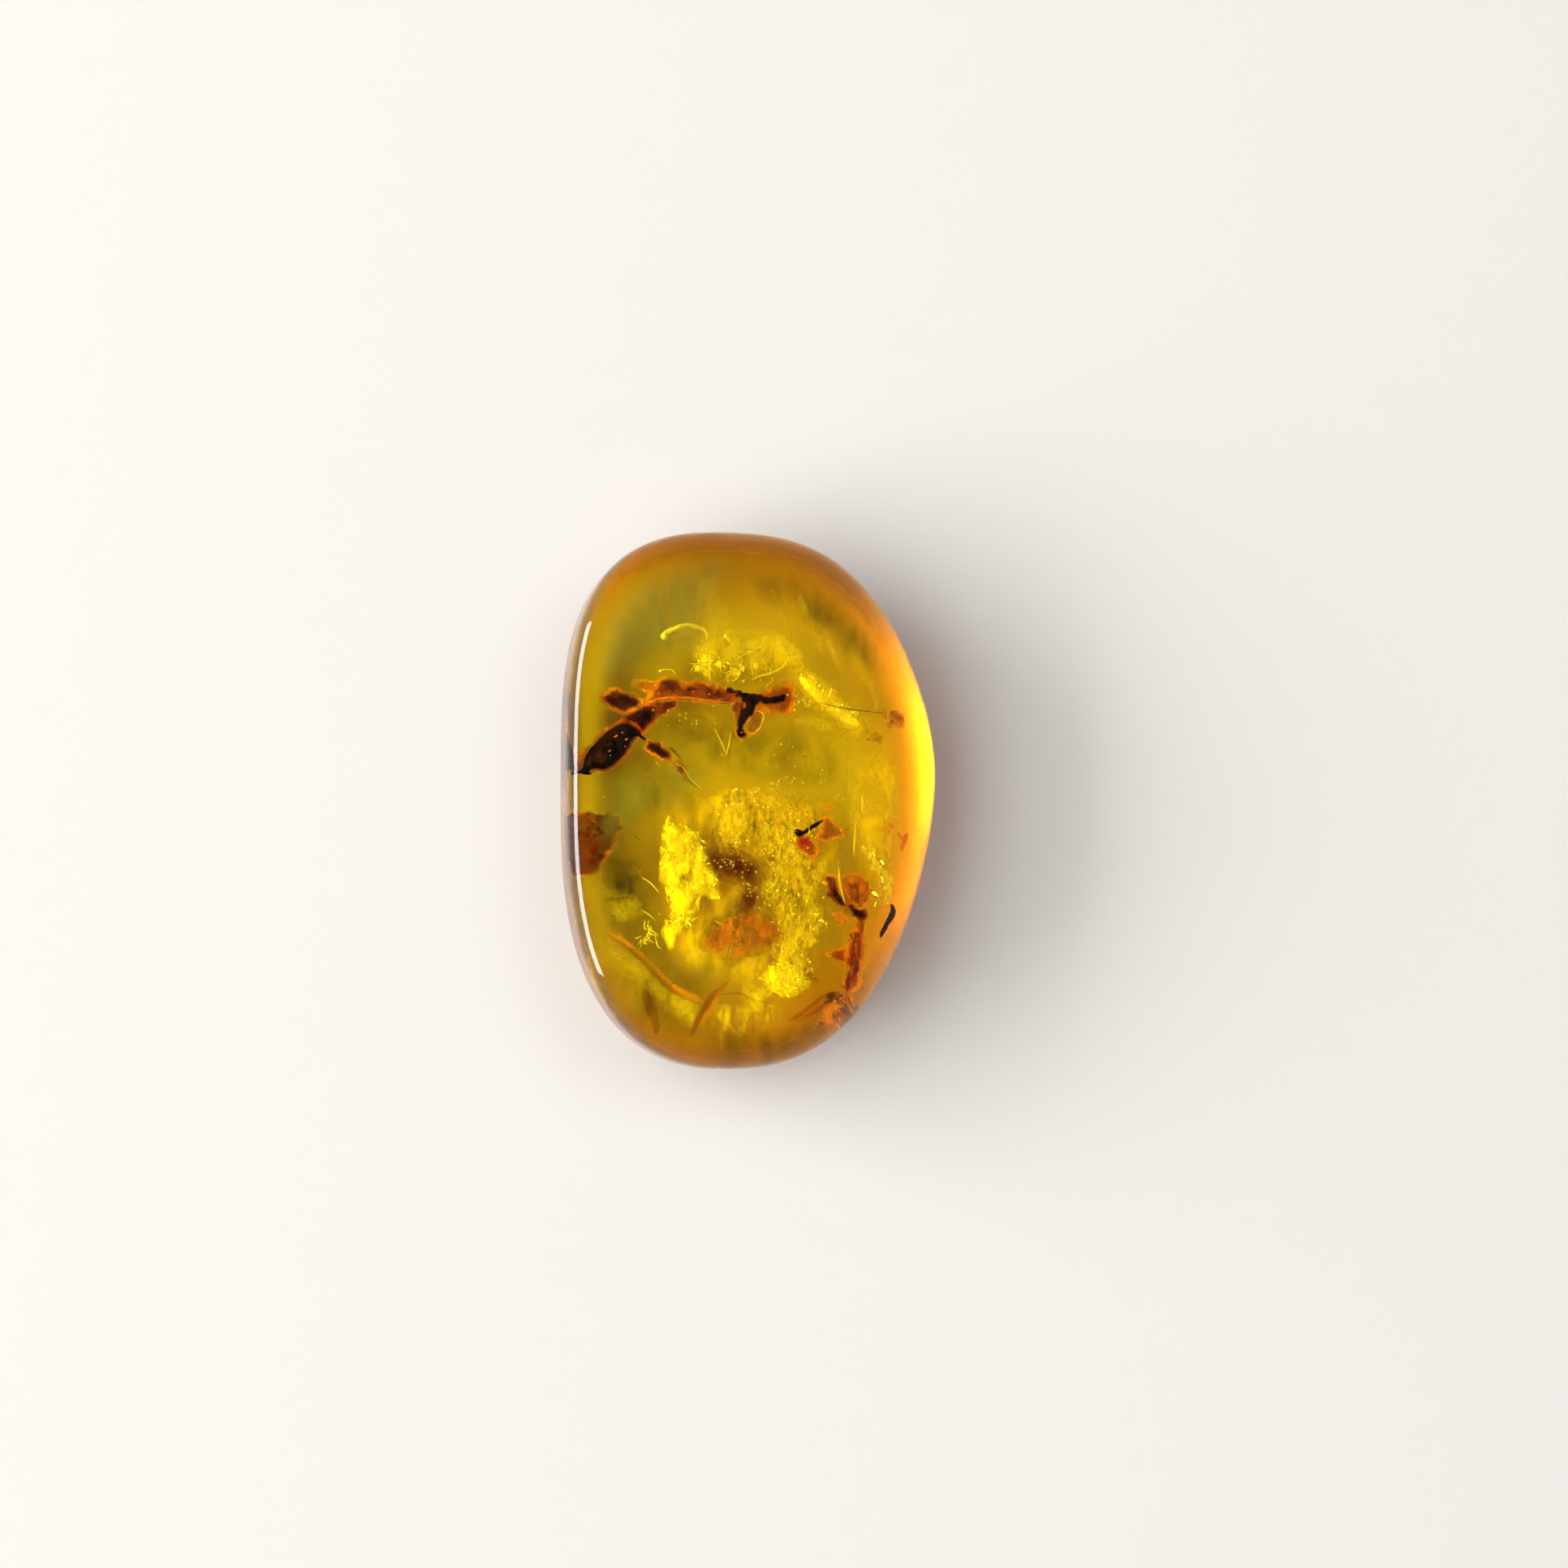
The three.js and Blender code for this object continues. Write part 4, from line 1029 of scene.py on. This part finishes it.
# The point of the stone's skin that a point of a ball moves to
def stone_point(direction):
    angle = math.atan2(direction.y, direction.x)
    latitude = math.asin(min(max(direction.z, -1), 1))
    if latitude >= 0:
        full = lerp(*FULL_DOME, (1 + math.cos(angle)) / 2)
        share, up = quarter_point(full, latitude)
        height = GIRDLE + (THICKNESS - GIRDLE) * up
    elif latitude > -FOOT_LATITUDE:
        out, up = quarter_point(FULL_LOWER_SIDE, latitude / FOOT_LATITUDE * math.pi / 2)
        share = lerp(FOOT_SHARE, 1, out)
        height = GIRDLE * (1 - up)
    else:
        share = FOOT_SHARE * (math.pi / 2 + latitude) / (math.pi / 2 - FOOT_LATITUDE)
        height = 0
    reach = outline_reach(angle) * share
    x = (REACH_LEFT - REACH_RIGHT) / 2 + reach * math.cos(angle)
    y = (REACH_BOTTOM - REACH_TOP) / 2 + reach * math.sin(angle)
    return Vector((x, y, height))


bm.verts.layers.float.new("matt")
bm.verts.layers.float.new("crust_and_rim_glow")
matt, crust_and_rim_glow = bm.verts.layers.float["matt"], bm.verts.layers.float["crust_and_rim_glow"]
bmesh.ops.create_icosphere(bm, subdivisions=7, radius=1)
for vert in bm.verts:
    latitude = math.degrees(math.asin(min(max(vert.co.z, -1), 1)))
    vert[matt] = ramp(latitude, *MATT_UPPER_EDGE) * ramp(latitude, *MATT_LOWER_EDGE)
    vert[crust_and_rim_glow] = ramp(latitude, *CRUST_AND_GLOW_LOWER_EDGE) * ramp(latitude, *CRUST_AND_GLOW_UPPER_EDGE)
    vert.co = stone_point(vert.co)
# Amber: clear golden resin that takes out blue light and some green, polished but for its lower side. An
# orange tint on that lower side stands for a weathered crust and also paints the orange glow of the rim.
amber_resin, tree, shader = new_material("amber_resin", {"IOR": RESIN_IOR, "Transmission Weight": 1.0})
ground = add_node(tree, "Attribute", attribute_name="matt").outputs["Fac"]
polish = add_node(tree, "MapRange", {"Value": ground}, {"To Min": 0.02, "To Max": 0.4})
tree.links.new(polish.outputs[0], shader.inputs["Roughness"])
# Painted rim glow: the lower side tints the light it passes orange, which also stands for a weathered crust
crust_and_glow_share = add_node(tree, "Attribute", attribute_name="crust_and_rim_glow").outputs["Fac"]
crust_and_glow_tint = add_node(tree, "Mix", {0: crust_and_glow_share}, {6: linear("#FFFFFF"), 7: linear("#F07600")}, data_type="RGBA")
tree.links.new(crust_and_glow_tint.outputs[2], shader.inputs["Base Color"])
tint = add_node(tree, "VolumeAbsorption", values={"Color": RESIN_TINT, "Density": RESIN_DENSITY})
tree.links.new(tint.outputs[0], tree.nodes["Material Output"].inputs["Volume"])
make_piece("amber", amber_resin, "amber", "amber_lower", "amber_upper")


# The pits: pinholes on the stone's left side, just under the skin, that hold white polishing powder.
# Tumbling left them open, and each is shown by its grain of powder.
PIT_COUNT = 220
# Degrees below the rim, then the heading in degrees with its spread
PIT_DROP = (-12, 30)
PIT_SIDE = (185, 28)
PIT_DEPTH = 0.995
SMALLEST_PIT = 0.02
PIT_SPREAD = 0.05
for _ in range(PIT_COUNT):
    heading = Euler((0, math.radians(dice.uniform(*PIT_DROP)), math.radians(dice.gauss(*PIT_SIDE))))
    skin_point = stone_point(heading.to_matrix() @ Vector((1, 0, 0)))
    spot = Vector((0, 0, LEVEL)).lerp(skin_point, PIT_DEPTH)
    size = SMALLEST_PIT + PIT_SPREAD * dice.random() ** 3
    for vert in stamp(lens):
        vert.co = spot + 2 * size * vert.co
# Polishing powder: chalk white
powder = plain_material("polishing_powder", "#F6F2E6", 0.9)
make_piece("pits", powder, "amber")


# The studio: a pale paper floor, a large softbox at the left and a small one overhead at the right.
# A low strip at the left is the lamp that the stone mirrors. The room is bright at the horizon only.
# Lengths here are in metres.
FLOOR_HALF_WIDTH = 1.5
FLOOR_GAP = 0.02 * MM
HORIZON_GLOW = 0.7
OVERHEAD_GLOW = 0.05
OVERHEAD_RISE = 0.8
LENS_MM = 100
SENSOR_MM = 36
CAMERA_PLACE = (-0.040206, -0.015725, 0.243762)
LEAN_LEFT = math.radians(10)
LEAN_FRONT = math.radians(4)
bmesh.ops.create_grid(bm, x_segments=1, y_segments=1, size=FLOOR_HALF_WIDTH)
mesh = bpy.data.meshes.new("floor")
bm.to_mesh(mesh)
bm.free()
mesh.materials.append(plain_material("pale_paper", "#BFBDB8", 0.9))
floor = bpy.data.objects.new("floor", mesh)
floor.location.z = -FLOOR_GAP
bpy.context.scene.collection.objects.link(floor)


def softbox(name, place, width, height, power, mirrored):
    lamp = bpy.data.lights.new(name, "AREA")
    lamp.shape = "RECTANGLE"
    lamp.size = width
    lamp.size_y = height
    lamp.energy = power
    light = bpy.data.objects.new(name, lamp)
    light.location = place
    light.rotation_euler = Vector(place).to_track_quat("Z", "Y").to_euler()
    light.visible_glossy = mirrored
    bpy.context.scene.collection.objects.link(light)


softbox("left_softbox", (-0.8, 0, 0.8), width=1.6, height=1.0, power=19, mirrored=False)
softbox("right_softbox", (0.3, 0.3, 1.1), width=0.8, height=0.8, power=5, mirrored=False)
softbox("strip_softbox", (-1.0, 0, 0.33), width=1.1, height=0.5, power=24, mirrored=True)

room = bpy.data.worlds.new("room")
room.use_nodes = True
tree = room.node_tree
heading = add_node(tree, "TexCoord").outputs["Generated"]
rise = add_node(tree, "SeparateXYZ", {0: heading})
glow = add_node(
    tree,
    "MapRange",
    {"Value": rise.outputs["Z"]},
    {"From Max": OVERHEAD_RISE, "To Min": HORIZON_GLOW, "To Max": OVERHEAD_GLOW},
)
tree.links.new(glow.outputs[0], tree.nodes["Background"].inputs["Strength"])
tree.nodes["Background"].inputs["Color"].default_value = linear("#FFFFFF")
bpy.context.scene.world = room

optics = bpy.data.cameras.new("camera")
optics.lens = LENS_MM
optics.sensor_width = SENSOR_MM
optics.clip_start = 0.01
camera = bpy.data.objects.new("camera", optics)
back = Vector((-math.tan(LEAN_LEFT), -math.tan(LEAN_FRONT), 1)).normalized()
right = Vector((0, 1, 0)).cross(back).normalized()
up = back.cross(right)
turn = Matrix((right, up, back)).transposed().to_4x4()
camera.matrix_world = Matrix.Translation(CAMERA_PLACE) @ turn
bpy.context.scene.collection.objects.link(camera)
scene = bpy.context.scene
scene.camera = camera
scene.view_settings.view_transform = "Standard"
scene.cycles.adaptive_threshold = 0.05
scene.cycles.max_bounces = 16
scene.cycles.transmission_bounces = 16
scene.cycles.transparent_max_bounces = 48
scene.cycles.blur_glossy = 0
